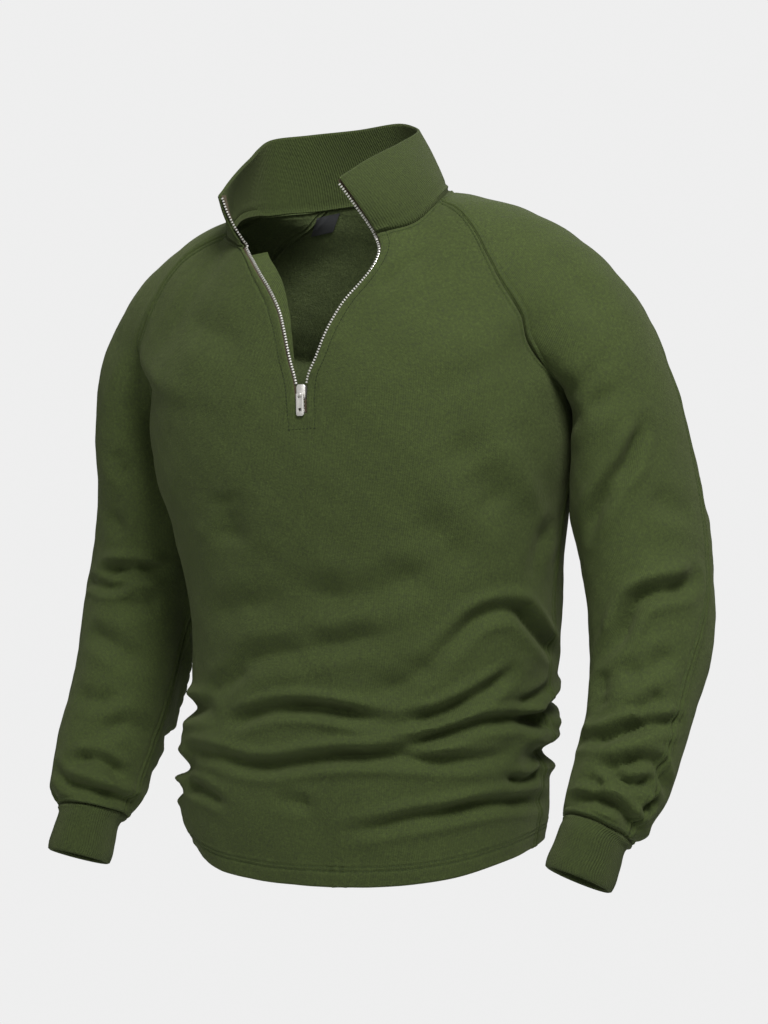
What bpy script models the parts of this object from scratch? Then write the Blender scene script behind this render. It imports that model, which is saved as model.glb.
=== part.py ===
"""Quarter-zip raglan sweatshirt in fleece, in the hollow shape it has when worn.

Metres, +Z up. The front faces -Y and the wearer's left is +X. The origin is the middle of the
shoulder yoke, level with the side of the neck seam, where a wearer's shoulders carry the garment.
Every cloth piece is a closed wall cut from one garment form: a torso of stacked sections and two
sleeves of rings along a path, which run together over the shoulders.
"""
import math

import bpy
import numpy as np

# ---- driving dimensions ----
FLEECE = 0.0022            # thickness of the fleece
PINCH = -0.2               # seams folded more sharply than this stand their walls on the fold's own line
HEM_TURN = 0.020           # depth of the turned hem
SEAM_GAP = 0.0003          # gap between two sewn pieces
CREASE_HEIGHT = -0.225     # below this, torso and sleeve only touch
SIDE_HEM_HEIGHT = -0.607   # hem at the side seams
FRONT_HEM_DROP = 0.018     # how much lower the hem hangs at centre front
BACK_HEM_DROP = 0.004
HEM_TILT = 0.008           # the hem hangs lower at the left
NECK_FRONT_HEIGHT = -0.037  # where the neck seam meets the zip
ZIP_END_HEIGHT = -0.197    # foot of the zip opening
COLLAR_HEIGHT = 0.066
SLEEVE_CLEARANCE = 0.0065   # between sleeve and torso below the underarm
CLEARANCE_LENGTH = 0.11    # of the sleeve path below the underarm, over which it grows
SHOULDER_BLEND = 0.055     # how softly torso and sleeve run together at the shoulder
NECK_BLEND = 0.12          # share of that softness left beside the neck
YOKE_MIDDLE_X = 0.010
YOKE_START = 0.25          # share of the yoke path that lies inside the neck opening
INNER_LEAN = 0.6           # how far a ring flattened by the torso moves out as a whole
YOKE_FRONT_HEIGHT = -0.250  # lowest row of the yoke at centre front
YOKE_BACK_HEIGHT = -0.240

# ---- mesh density ----
FRONT_COLUMNS = 11         # each half of the front
BACK_COLUMNS = 18
YOKE_ROWS = 14
TUCK_ROW = 10              # from this row of the yoke the raglan seams turn in under the arm
ZIP_ROWS = 10              # rows of the yoke beside the open zip
TORSO_ROWS = 29
SLEEVE_FRONT_COLUMNS = 10
SLEEVE_BACK_COLUMNS = 9
SLEEVE_ROWS = 27

# ---- torso sections, top to bottom ----
TORSO_COLUMNS = ("height", "half_width", "front", "back", "middle_x", "corner")
TORSO_SECTIONS = (
    (0.040, 0.075, 0.062, 0.050, 0.012, 2.0),
    (0.000, 0.105, 0.082, 0.063, 0.012, 2.1),
    (-0.040, 0.140, 0.104, 0.090, 0.012, 2.2),
    (-0.090, 0.180, 0.122, 0.108, 0.012, 2.3),
    (-0.150, 0.207, 0.136, 0.119, 0.012, 2.4),
    (-0.200, 0.214, 0.141, 0.121, 0.012, 2.4),
    (-0.240, 0.211, 0.142, 0.119, 0.012, 2.4),
    (-0.300, 0.196, 0.138, 0.112, 0.014, 2.4),
    (-0.370, 0.186, 0.130, 0.104, 0.013, 2.4),
    (-0.450, 0.183, 0.128, 0.102, 0.006, 2.4),
    (-0.510, 0.183, 0.134, 0.108, -0.004, 2.4),
    (-0.560, 0.184, 0.138, 0.113, -0.013, 2.4),
    (-0.630, 0.179, 0.134, 0.110, -0.017, 2.4),
)

# ---- sleeve rings from the neck to the cuff seam, for the wearer's left; x is mirrored for the right ----
SLEEVE_COLUMNS = ("x", "y", "z", "half_out", "half_deep", "turn")
YOKE_RING_COUNT = 5        # rings down to the underarm
LEFT_SLEEVE_RINGS = (
    (0.041, 0.004, -0.063, 0.062, 0.078, 0),
    (0.112, 0.010, -0.069, 0.068, 0.082, 0),
    (0.169, 0.018, -0.095, 0.072, 0.080, 0),
    (0.215, 0.025, -0.144, 0.074, 0.079, 0),
    (0.243, 0.030, -0.205, 0.069, 0.078, 0),
    (0.264, 0.033, -0.275, 0.060, 0.076, 10),
    (0.278, 0.029, -0.345, 0.055, 0.072, 15),
    (0.285, 0.010, -0.415, 0.0525, 0.064, 15),
    (0.281, -0.026, -0.485, 0.0465, 0.052, 10),
    (0.270, -0.057, -0.538, 0.0435, 0.046, 5),
    (0.262, -0.072, -0.563, 0.0400, 0.0425, 0),
    (0.256, -0.083, -0.580, 0.0325, 0.0360, 0),
)
RIGHT_SLEEVE_RINGS = (
    (0.031, 0.004, -0.063, 0.062, 0.078, 0),
    (0.101, 0.010, -0.067, 0.067, 0.082, 0),
    (0.161, 0.018, -0.095, 0.072, 0.080, 0),
    (0.207, 0.025, -0.143, 0.073, 0.079, 0),
    (0.231, 0.030, -0.204, 0.063, 0.078, 0),
    (0.246, 0.033, -0.275, 0.060, 0.076, 10),
    (0.262, 0.030, -0.345, 0.059, 0.073, 20),
    (0.274, 0.014, -0.415, 0.058, 0.069, 20),
    (0.280, -0.016, -0.485, 0.053, 0.060, 15),
    (0.287, -0.043, -0.536, 0.050, 0.052, 10),
    (0.289, -0.056, -0.562, 0.047, 0.048, 0),
    (0.289, -0.065, -0.580, 0.0350, 0.0380, 0),
)

# ---- raglan and elbow seams, as angles round the sleeve: 0 on top and outside, +90 in front ----
SEAM_COLUMNS = ("share", "front", "elbow", "back")
SEAM_ANGLES = (
    (0.00, 46, -14, -52),
    (0.20, 52, -18, -58),
    (0.35, 64, -22, -68),
    (0.50, 79, -26, -80),
    (0.70, 91, -28, -94),
    (0.85, 106, -24, -110),
    (0.93, 124, -20, -128),
    (1.00, 180, -14, -180),
)
ELBOW_COLUMNS = ("share", "angle")
ELBOW_ANGLES = (
    (0.00, -14),
    (0.20, -11),
    (0.45, 3),
    (0.62, 20),
    (0.80, 28),
    (1.00, 26),
)

# ---- neck seam, from the left front edge round the back to the right front edge ----
NECK_COLUMNS = ("x", "y", "z")
NECK_SEAM = (
    (0.088, -0.095, -0.037),
    (0.112, -0.074, -0.031),
    (0.122, -0.040, -0.018),
    (0.114, 0.008, 0.002),
    (0.074, 0.045, 0.006),
    (0.010, 0.058, 0.006),
    (-0.054, 0.050, 0.006),
    (-0.086, 0.020, 0.004),
    (-0.092, -0.022, -0.008),
    (-0.082, -0.064, -0.026),
    (-0.056, -0.094, -0.037),
)
COLLAR_TOP = (
    (0.066, -0.115, 0.011),
    (0.078, -0.080, 0.029),
    (0.090, -0.034, 0.047),
    (0.088, 0.012, 0.063),
    (0.060, 0.038, 0.075),
    (0.004, 0.050, 0.077),
    (-0.048, 0.046, 0.078),
    (-0.079, 0.024, 0.075),
    (-0.080, -0.022, 0.053),
    (-0.076, -0.068, 0.029),
    (-0.071, -0.101, 0.010),
)
"""Shares of the neck seam at which the raglan seams start."""
LEFT_FRONT_RAGLAN = 0.16
LEFT_BACK_RAGLAN = 0.40
RIGHT_BACK_RAGLAN = 0.60
RIGHT_FRONT_RAGLAN = 0.90

# ---- edges of the open zip, by height ----
ZIP_COLUMNS = ("height", "left_x", "right_x")
ZIP_EDGES = (
    (-0.037, 0.089, -0.057),
    (-0.049, 0.092, -0.044),
    (-0.067, 0.089, -0.029),
    (-0.084, 0.078, -0.016),
    (-0.103, 0.061, -0.005),
    (-0.125, 0.049, 0.002),
    (-0.150, 0.0385, 0.0075),
    (-0.1705, 0.0295, 0.0135),
    (-0.185, 0.0280, 0.0150),
    (-0.197, 0.0278, 0.0152),
)

# ---- cuffs: rings from the cuff seam to the opening ----
CUFF_COLUMNS = ("along", "half_out", "half_deep")
CUFF_RINGS = (
    (0.000, 0.0330, 0.0365),
    (0.006, 0.0322, 0.0360),
    (0.027, 0.0322, 0.0362),
    (0.047, 0.0328, 0.0366),
    (0.051, 0.0320, 0.0360),
)
LEFT_CUFF_DIRECTION = (-0.28, -0.42, -0.86)
RIGHT_CUFF_DIRECTION = (-0.12, -0.40, -0.90)

# ---- collar ----
COLLAR_WALL = 0.0032       # rib knit folded double
COLLAR_ROWS = 3
COLLAR_BULGE = 0.003
CUFF_WALL = 0.0032

# ---- zip ----
ZIP_TAPE = 0.0008          # thickness of the tape
TAPE_SHOWS = 0.0014        # tape beyond the cloth's edge
TAPE_SHOWS_BELOW = 0.0036  # the same below the slider, where the zip is closed
TAPE_UNDER = 0.0065        # tape sewn behind the cloth's edge
TEETH_WIDTH = 0.0023
TEETH_DEPTH = 0.0022
LAYER_GAP = 0.0004         # between layers that are sewn flat on each other
COLLAR_STEP = 0.0012       # the zip lies this much deeper behind the collar
SLIDER_TOP = -0.1705
SLIDER_LENGTH = 0.0140
SLIDER_DEPTH = 0.0046
SLIDER_COLUMNS = ("down", "width")
SLIDER_ROWS = (
    (0.0000, 0.0064),
    (0.0022, 0.0090),
    (0.0081, 0.0088),
    (0.0109, 0.0084),
    (0.0125, 0.0074),
    (0.0140, 0.0056),
)
TAB_PIVOT_DOWN = 0.0095    # pivot below the slider's top
TAB_PIVOT_OUT = 0.0018     # pivot in front of the slider's face
BAIL_WIDTH = 0.0030
BAIL_RADIUS = 0.0014
TAB_THICKNESS = 0.0012
TAB_REST_GAP = 0.0006      # between the tab's foot and the cloth
TAB_COLUMNS = ("down", "half_width", "half_slot")
TAB_ROWS = (
    (-0.0010, 0.0036, 0.0018),
    (0.0030, 0.0037, 0.0018),
    (0.0120, 0.0038, 0.0016),
    (0.0150, 0.0038, 0.0016),
    (0.0178, 0.0037, 0.0016),
    (0.0190, 0.0024, 0.0010),
)
CLOSED_TEETH_WIDTH = 0.0046
CLOSED_TEETH_END = -0.1925
STOP_LENGTH = 0.0028
STOP_WIDTH = 0.0054

# ---- facing behind the zip on the wearer's right ----
FACING = 0.0012
FACING_UNDER = 0.0150
FACING_COLUMNS = ("height", "beyond")
FACING_WIDTHS = (
    (-0.037, 0.0180),
    (-0.067, 0.0160),
    (-0.103, 0.0090),
    (-0.140, 0.0050),
    (-0.160, 0.0030),
)
FACING_LEAN = 0.5          # how far it falls back as it goes across

# ---- neck label ----
LABEL_FROM_X = -0.014      # on the neck seam
LABEL_TO_X = -0.034
LABEL_ROWS = (1.1, 2.0, 2.6)  # in rows of the back
LABEL_THICKNESS = 0.0006


def column(table, columns, name):
    return np.array([row[columns.index(name)] for row in table], float)


def smooth_read(at, places, values):
    """Reads a table column at any place, on a curve with no overshoot between its rows."""
    places = np.asarray(places, float)
    values = np.asarray(values, float)
    if places[0] > places[-1]:
        places = places[::-1]
        values = values[::-1]
    step = np.diff(places)
    slope = np.diff(values) / step
    tangent = np.zeros_like(values)
    agree = slope[1:] * slope[:-1] > 0
    blend = 2 * slope[1:] * slope[:-1] / np.where(agree, slope[1:] + slope[:-1], 1)
    tangent[1:-1] = np.where(agree, blend, 0)
    tangent[0] = slope[0]
    tangent[-1] = slope[-1]
    at = np.clip(at, places[0], places[-1])
    span = np.clip(np.searchsorted(places, at, side="right") - 1, 0, len(step) - 1)
    part = (at - places[span]) / step[span]
    start = values[span] * (1 + 2 * part) * (1 - part) ** 2
    end = values[span + 1] * part ** 2 * (3 - 2 * part)
    leave = tangent[span] * step[span] * part * (1 - part) ** 2
    arrive = tangent[span + 1] * step[span] * part ** 2 * (part - 1)
    return start + end + leave + arrive


def smooth_step(value, low, high):
    part = np.clip((value - low) / (high - low), 0, 1)
    return part * part * (3 - 2 * part)


def unit(vectors):
    return vectors / np.maximum(np.linalg.norm(vectors, axis=-1, keepdims=True), 1e-12)


def curve_points(points, count, shares=None):
    """Points on a smooth curve through the given ones, evenly spaced or at the given shares of its length."""
    points = np.asarray(points, float)
    knots = np.concatenate([[0], np.cumsum(np.linalg.norm(np.diff(points, axis=0), axis=1))])
    fine = np.linspace(0, knots[-1], 12 * len(points))
    fine_points = []
    tangents = np.gradient(points, knots, axis=0)
    for place in fine:
        span = min(int(np.searchsorted(knots, place, side="right")) - 1, len(points) - 2)
        step = knots[span + 1] - knots[span]
        part = (place - knots[span]) / step
        fine_points.append(
            points[span] * (1 + 2 * part) * (1 - part) ** 2
            + points[span + 1] * part ** 2 * (3 - 2 * part)
            + tangents[span] * step * part * (1 - part) ** 2
            + tangents[span + 1] * step * part ** 2 * (part - 1)
        )
    fine_points = np.array(fine_points)
    lengths = np.concatenate([[0], np.cumsum(np.linalg.norm(np.diff(fine_points, axis=0), axis=1))])
    lengths /= lengths[-1]
    if shares is None:
        shares = np.linspace(0, 1, count)
    return np.stack([np.interp(shares, lengths, fine_points[:, axis]) for axis in range(3)], -1)


# ---- torso form ----
TORSO_HEIGHTS = column(TORSO_SECTIONS, TORSO_COLUMNS, "height")


def torso_size(height, name):
    return smooth_read(height, TORSO_HEIGHTS, column(TORSO_SECTIONS, TORSO_COLUMNS, name))


def torso_point(angle, height):
    """A point on the torso: angle 0 is the left side seam, -90 centre front, 90 centre back."""
    radians = np.radians(angle)
    across = np.cos(radians)
    along = np.sin(radians)
    power = 2 / torso_size(height, "corner")
    depth = np.where(along < 0, torso_size(height, "front"), torso_size(height, "back"))
    x = torso_size(height, "middle_x") + torso_size(height, "half_width") * np.sign(across) * np.abs(across) ** power
    y = depth * np.sign(along) * np.abs(along) ** power
    return np.stack([x, y, height + 0 * angle], -1)


def torso_field(points):
    """About the distance outside the torso, negative within it."""
    height = points[:, 2]
    corner = torso_size(height, "corner")
    half_width = torso_size(height, "half_width")
    depth = np.where(points[:, 1] < 0, torso_size(height, "front"), torso_size(height, "back"))
    across = np.abs(points[:, 0] - torso_size(height, "middle_x")) / half_width
    along = np.abs(points[:, 1]) / depth
    reach = (across ** corner + along ** corner) ** (1 / corner)
    distance = np.hypot(points[:, 0] - torso_size(height, "middle_x"), points[:, 1])
    return (reach - 1) * distance / np.maximum(reach, 0.05)


# ---- sleeve form ----
PATH_STEPS = 72


class Sleeve:
    """Rings along the path of one sleeve. side is 1 for the wearer's left and -1 for the right."""

    def __init__(self, side, rings):
        self.side = side
        centres = np.array([[side * row[0], row[1], row[2]] for row in rings])
        lengths = np.concatenate([[0], np.cumsum(np.linalg.norm(np.diff(centres, axis=0), axis=1))])
        self.length = lengths[-1]
        self.yoke_share = lengths[YOKE_RING_COUNT - 1] / self.length
        self.ring_shares = lengths / self.length
        self.path_shares = np.linspace(0, 1, PATH_STEPS)
        self.path = curve_points(centres, PATH_STEPS)
        tangent = unit(np.gradient(self.path, axis=0))
        front = np.array([0.0, -1.0, 0.0]) - tangent * (tangent @ np.array([0.0, -1.0, 0.0]))[:, None]
        self.front = unit(front)
        self.out = side * np.cross(self.front, tangent)
        self.along = tangent
        self.half_out = self.read("half_out", rings)
        self.half_deep = self.read("half_deep", rings)
        self.turn = np.radians(self.read("turn", rings))
        self.half_in = self.half_out.copy()
        self.lean = 0 * self.half_out
        self.flatten()

    def flatten(self):
        """Draws the inner side of the rings out of the torso, a little at a time down to the underarm."""
        start = self.yoke_share * TUCK_ROW / YOKE_ROWS
        around = np.arange(100.0, 261.0, 4.0)
        low = np.full(PATH_STEPS, 0.0)
        high = self.half_out.copy()
        full = self.half_out
        past = (self.path_shares - self.yoke_share) * self.length
        clearance = SLEEVE_CLEARANCE * smooth_step(past, 0, CLEARANCE_LENGTH)
        for _ in range(16):
            self.half_in = (low + high) / 2
            self.lean = INNER_LEAN * (full - self.half_in) / 2
            ring = self.point(self.path_shares[:, None], around[None, :])
            gap = torso_field(ring.reshape(-1, 3)).reshape(len(full), -1).min(axis=1)
            low = np.where(gap >= clearance, self.half_in, low)
            high = np.where(gap >= clearance, high, self.half_in)
        touch = np.minimum(low, full)
        part = np.clip((self.path_shares - start) / (self.yoke_share - start), 0, 1)
        above = touch + (full - touch) * (1 - part) ** 2
        self.half_in = np.where(self.path_shares < self.yoke_share, above, touch)
        self.lean = INNER_LEAN * (full - self.half_in) / 2

    def read(self, name, rings):
        return smooth_read(self.path_shares, self.ring_shares, column(rings, SLEEVE_COLUMNS, name))

    def at(self, share, values):
        if values.ndim == 1:
            return np.interp(share, self.path_shares, values)
        return np.stack([np.interp(share, self.path_shares, values[:, axis]) for axis in range(3)], -1)

    def point(self, share, angle):
        """A point on the ring at this share of the path, at an angle round it."""
        share = np.asarray(share, float)
        angle = np.radians(np.asarray(angle, float)) + 0 * share
        share = share + 0 * angle
        turn = self.at(share, self.turn)
        lean = self.at(share, self.lean)
        across = np.cos(angle - turn)
        out_part = np.where(across > 0, self.at(share, self.half_out) - lean, self.at(share, self.half_in) + lean)
        out_part = out_part * across + lean
        deep_part = self.at(share, self.half_deep) * np.sin(angle - turn)
        out_amount = out_part * np.cos(turn) - deep_part * np.sin(turn)
        deep_amount = out_part * np.sin(turn) + deep_part * np.cos(turn)
        out = self.at(share, self.out)
        front = self.at(share, self.front)
        return self.at(share, self.path) + out * out_amount[..., None] + front * deep_amount[..., None]

    def field(self, points):
        """About the distance outside this sleeve, negative within it."""
        gap = points[:, None, :] - self.path[None]
        nearest = np.argmin(np.einsum("nij,nij->ni", gap, gap), axis=1)
        gap = points - self.path[nearest]
        turn = self.turn[nearest]
        out_amount = np.einsum("ni,ni->n", gap, self.out[nearest])
        deep_amount = np.einsum("ni,ni->n", gap, self.front[nearest])
        past_end = np.einsum("ni,ni->n", gap, self.along[nearest])
        out_part = out_amount * np.cos(turn) + deep_amount * np.sin(turn)
        deep_part = deep_amount * np.cos(turn) - out_amount * np.sin(turn)
        lean = self.lean[nearest]
        out_part = out_part - lean
        half_out = np.where(out_part > 0, self.half_out[nearest] - lean, self.half_in[nearest] + lean)
        half_deep = self.half_deep[nearest]
        reach = np.sqrt((out_part / half_out) ** 2 + (deep_part / half_deep) ** 2 + (past_end / half_deep) ** 2)
        distance = np.linalg.norm(gap, axis=1)
        return (reach - 1) * distance / np.maximum(reach, 0.05)


LEFT_SLEEVE = Sleeve(1, LEFT_SLEEVE_RINGS)
RIGHT_SLEEVE = Sleeve(-1, RIGHT_SLEEVE_RINGS)


def blend_width(points):
    """Torso and sleeve meet in a crease at the underarm, softly at the shoulder and tightly beside the neck."""
    lift = smooth_step(points[:, 2], CREASE_HEIGHT, CREASE_HEIGHT + 0.13)
    aside = smooth_step(np.abs(points[:, 0] - YOKE_MIDDLE_X), 0.085, 0.165)
    return SHOULDER_BLEND * lift * (NECK_BLEND + (1 - NECK_BLEND) * aside) + 1e-5


def garment_field(points):
    """Torso and sleeves run together, softly over the shoulders and in a crease at the underarm."""
    value = torso_field(points)
    width = blend_width(points)
    for sleeve in (LEFT_SLEEVE, RIGHT_SLEEVE):
        other = sleeve.field(points)
        share = np.maximum(width - np.abs(value - other), 0) / width
        value = np.minimum(value, other) - share * share * width / 4
    return value


def settle(points, field=garment_field, rounds=8):
    """Moves points onto the garment's form along its steepest slope."""
    shape = points.shape
    points = points.reshape(-1, 3).copy()
    small = 0.0004
    for _ in range(rounds):
        value = field(points)
        slope = np.stack([
            (field(points + small * axis) - field(points - small * axis)) / (2 * small)
            for axis in np.eye(3)
        ], -1)
        scale = np.maximum(np.einsum("ni,ni->n", slope, slope), 0.2)
        move = -slope * (value / scale)[:, None]
        length = np.linalg.norm(move, axis=1, keepdims=True)
        points += move * np.minimum(1, 0.012 / np.maximum(length, 1e-9))
    return points.reshape(shape)


# ---- neck seam on the form ----
NECK_LINE = settle(curve_points(NECK_SEAM, 60))


def neck_points(shares):
    shares = np.atleast_1d(np.asarray(shares, float))
    lengths = np.concatenate([[0], np.cumsum(np.linalg.norm(np.diff(NECK_LINE, axis=0), axis=1))])
    lengths /= lengths[-1]
    return np.stack([np.interp(shares, lengths, NECK_LINE[:, axis]) for axis in range(3)], -1)


# ---- sleeve panels ----
def inmost_angle(sleeve, share):
    """The angle at which a sleeve ring comes nearest to the torso, or lies deepest in it."""
    angles = np.arange(120.0, 240.5, 1.0)
    return float(angles[np.argmin(torso_field(sleeve.point(share, angles)))])


def crease_angle(sleeve, share, sign):
    """The angle at which a sleeve ring enters the torso, in front for sign 1 and behind for -1."""
    inmost = inmost_angle(sleeve, share)
    low = 60.0
    high = inmost if sign > 0 else 360 - inmost
    for _ in range(24):
        middle = (low + high) / 2
        if torso_field(sleeve.point(share, sign * middle)[None])[0] > 0:
            low = middle
        else:
            high = middle
    return sign * low


def seam_angle(name, share):
    return smooth_read(share, column(SEAM_ANGLES, SEAM_COLUMNS, "share"), column(SEAM_ANGLES, SEAM_COLUMNS, name))


def elbow_angle(share):
    return smooth_read(share, column(ELBOW_ANGLES, ELBOW_COLUMNS, "share"), column(ELBOW_ANGLES, ELBOW_COLUMNS, "angle"))


def own_share(row):
    """Towards the underarm the points keep to the ring or torso they came from."""
    return float(smooth_step(row, TUCK_ROW - 4, TUCK_ROW + 1))


def sleeve_grid(sleeve):
    """Rows from the neck seam to the cuff seam, columns from the front seam over the top to the back seam."""
    front_columns = np.linspace(0, 1, SLEEVE_FRONT_COLUMNS + 1)
    back_columns = np.linspace(0, 1, SLEEVE_BACK_COLUMNS + 1)[1:]
    count = SLEEVE_FRONT_COLUMNS + SLEEVE_BACK_COLUMNS + 1
    neck = neck_points(np.linspace(*raglan_ends(sleeve), count))
    rows = [neck]
    inmost = inmost_angle(sleeve, sleeve.yoke_share)
    for row in range(1, YOKE_ROWS + 1):
        down = row / YOKE_ROWS
        share = sleeve.yoke_share * (down + YOKE_START * (1 - smooth_step(down, 0, 0.55)))
        elbow = seam_angle("elbow", down)
        front = crease_angle(sleeve, share, 1)
        back = crease_angle(sleeve, share, -1)
        if row < TUCK_ROW:
            front = min(seam_angle("front", down), front)
            back = max(seam_angle("back", down), back)
        if row == YOKE_ROWS:
            front = inmost
            back = inmost - 360
        angles = np.concatenate([front + (elbow - front) * front_columns, elbow + (back - elbow) * back_columns])
        ring = sleeve.point(np.full(count, share), angles)
        part = smooth_step(down, 0, 0.5)
        ring = neck * (1 - part) + ring * part
        own = own_share(row)
        rows.append(settle(ring) * (1 - own) + ring * own if own < 1 else ring)
    for row in range(1, SLEEVE_ROWS + 1):
        down = 1.3 * row / SLEEVE_ROWS - 0.3 * (row / SLEEVE_ROWS) ** 2
        share = sleeve.yoke_share + (1 - sleeve.yoke_share) * down
        elbow = elbow_angle(down)
        first = inmost + (180 - inmost) * float(smooth_step(down, 0, 0.35))
        angles = np.concatenate([
            first + (elbow - first) * front_columns,
            elbow + (first - 360 - elbow) * back_columns,
        ])
        rows.append(sleeve.point(np.full(count, share), angles))
    grid = np.array(rows)
    grid[YOKE_ROWS:, -1] = grid[YOKE_ROWS:, 0]
    return grid


def raglan_ends(sleeve):
    if sleeve.side > 0:
        return LEFT_FRONT_RAGLAN, LEFT_BACK_RAGLAN
    return RIGHT_FRONT_RAGLAN, RIGHT_BACK_RAGLAN


# ---- torso panels ----
def angle_on_torso(point):
    """The torso angle of a point, front half negative."""
    height = point[2]
    power = torso_size(height, "corner") / 2
    across = (point[0] - torso_size(height, "middle_x")) / torso_size(height, "half_width")
    along = point[1] / torso_size(height, "front" if point[1] < 0 else "back")
    across = np.sign(across) * np.abs(across) ** power
    along = np.sign(along) * np.abs(along) ** power
    return math.degrees(math.atan2(along, across))


def hem_height(angle):
    drop = np.where(np.sin(np.radians(angle)) < 0, FRONT_HEM_DROP, BACK_HEM_DROP)
    return SIDE_HEM_HEIGHT - drop * np.sin(np.radians(angle)) ** 2 - HEM_TILT * np.cos(np.radians(angle))


def row_on_torso(start, end, start_height, columns, bend=1.6):
    """Points from a panel's middle edge to its seam: start and end are points on the two edges."""
    start_angle = angle_on_torso(start)
    end_angle = angle_on_torso(end)
    if end_angle > 90:
        end_angle -= 360
    angles = start_angle + (end_angle - start_angle) * columns
    heights = start_height + (end[2] - start_height) * columns ** bend
    line = torso_point(angles, heights)
    line = line + np.outer(1 - columns, start - line[0]) + np.outer(columns, end - line[-1])
    return line


def side_seam(underarm, side, row):
    """The angle and the upper height of the side seam, which starts at the underarm."""
    middle = 0.0 if side > 0 else 180.0
    start = angle_on_torso(underarm)
    if side < 0 and start < 0:
        start += 360
    angle = start + (middle - start) * float(smooth_step(row, 0, 9))
    return angle, float(underarm[2])


def zip_edge(height, side):
    name = "left_x" if side > 0 else "right_x"
    return smooth_read(height, column(ZIP_EDGES, ZIP_COLUMNS, "height"), column(ZIP_EDGES, ZIP_COLUMNS, name))


def point_at(x, height):
    """The point on the torso's front at a place across and a height."""
    across = (x - torso_size(height, "middle_x")) / torso_size(height, "half_width")
    corner = torso_size(height, "corner")
    y = -torso_size(height, "front") * (1 - abs(across) ** corner) ** (1 / corner)
    return np.array([x, y, height])


def front_grid(seams):
    """Both halves of the front. Columns run from the zip edge or middle to the raglan or side seam."""
    columns = np.linspace(0, 1, FRONT_COLUMNS + 1)
    halves = {}
    for side in (1, -1):
        seam = seams[side]
        rows = []
        if side > 0:
            top = neck_points(np.linspace(0, LEFT_FRONT_RAGLAN, FRONT_COLUMNS + 1))
        else:
            top = neck_points(np.linspace(1, RIGHT_FRONT_RAGLAN, FRONT_COLUMNS + 1))
        rows.append(top)
        for row in range(1, YOKE_ROWS + 1):
            if row <= ZIP_ROWS:
                height = NECK_FRONT_HEIGHT + (ZIP_END_HEIGHT - NECK_FRONT_HEIGHT) * row / ZIP_ROWS
                x = float(zip_edge(height, side))
            else:
                part = (row - ZIP_ROWS) / (YOKE_ROWS - ZIP_ROWS)
                height = ZIP_END_HEIGHT + (YOKE_FRONT_HEIGHT - ZIP_END_HEIGHT) * part
                x = middle_edge(side)
            start = point_at(x, height)
            line = row_on_torso(start, seam[row], height, columns)
            ease = smooth_step(row / YOKE_ROWS, 0, 0.3)
            line = line * ease + (top + line[0] - top[0]) * (1 - ease) if row < 5 else line
            line = line + np.outer(1 - columns, start - line[0]) + np.outer(columns, seam[row] - line[-1])
            settled = settle(line)
            own = own_share(row)
            settled = settled * (1 - own) + line * own
            settled[-1] = seam[row]
            rows.append(settled)
        for row in range(1, TORSO_ROWS + 1):
            part = torso_share(row)
            middle_height = YOKE_FRONT_HEIGHT + (hem_height(np.array(-90.0)) - YOKE_FRONT_HEIGHT) * part
            x = middle_edge(side)
            start_angle = angle_on_torso(point_at(x, middle_height))
            side_angle, top_height = side_seam(seam[YOKE_ROWS], side, row)
            if side < 0:
                side_angle -= 360
            angles = start_angle + (side_angle - start_angle) * columns
            top_heights = YOKE_FRONT_HEIGHT + (top_height - YOKE_FRONT_HEIGHT) * columns ** 1.6
            heights = top_heights + (hem_height(angles) - top_heights) * part
            rows.append(torso_point(angles, heights))
        halves[side] = np.array(rows)
    return halves


def middle_edge(side):
    """The two columns on either side of centre front, below the zip."""
    return ZIP_EDGES[-1][1] if side > 0 else ZIP_EDGES[-1][2]


def torso_share(row):
    """Rows stand closer together towards the hem, where the folds are."""
    return float(np.interp(row / TORSO_ROWS, (0, 0.20, 0.86, 1), (0, 0.32, 0.875, 1)))


def back_grid(seams):
    columns = np.linspace(0, 1, BACK_COLUMNS + 1)
    rows = [neck_points(np.linspace(LEFT_BACK_RAGLAN, RIGHT_BACK_RAGLAN, BACK_COLUMNS + 1))]
    top_middle = rows[0][BACK_COLUMNS // 2]
    for row in range(1, YOKE_ROWS + 1):
        down = row / YOKE_ROWS
        left = seams[1][row]
        right = seams[-1][row]
        height = top_middle[2] + (YOKE_BACK_HEIGHT - top_middle[2]) * down
        left_angle = angle_on_torso(left)
        right_angle = angle_on_torso(right)
        if right_angle < 0:
            right_angle += 360
        angles = left_angle + (right_angle - left_angle) * columns
        middle = np.abs(2 * columns - 1)
        ends = left[2] + (right[2] - left[2]) * columns
        heights = height + (ends - height) * middle ** 1.6
        line = torso_point(angles, heights)
        line = line + np.outer(1 - columns, left - line[0]) + np.outer(columns, right - line[-1])
        ease = smooth_step(down, 0, 0.3)
        shifted = rows[0] + np.array([0, 0.02, -1]) * (top_middle[2] - height)
        line = line * ease + shifted * (1 - ease) if row < 5 else line
        line = line + np.outer(1 - columns, left - line[0]) + np.outer(columns, right - line[-1])
        settled = settle(line)
        own = own_share(row)
        settled = settled * (1 - own) + line * own
        settled[0] = left
        settled[-1] = right
        rows.append(settled)
    middle = np.abs(2 * columns - 1)
    for row in range(1, TORSO_ROWS + 1):
        left_angle, left_top = side_seam(seams[1][YOKE_ROWS], 1, row)
        right_angle, right_top = side_seam(seams[-1][YOKE_ROWS], -1, row)
        angles = left_angle + (right_angle - left_angle) * columns
        ends = left_top + (right_top - left_top) * columns
        top_heights = YOKE_BACK_HEIGHT + (ends - YOKE_BACK_HEIGHT) * middle ** 1.6
        heights = top_heights + (hem_height(angles) - top_heights) * torso_share(row)
        rows.append(torso_point(angles, heights))
    return np.array(rows)


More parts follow.
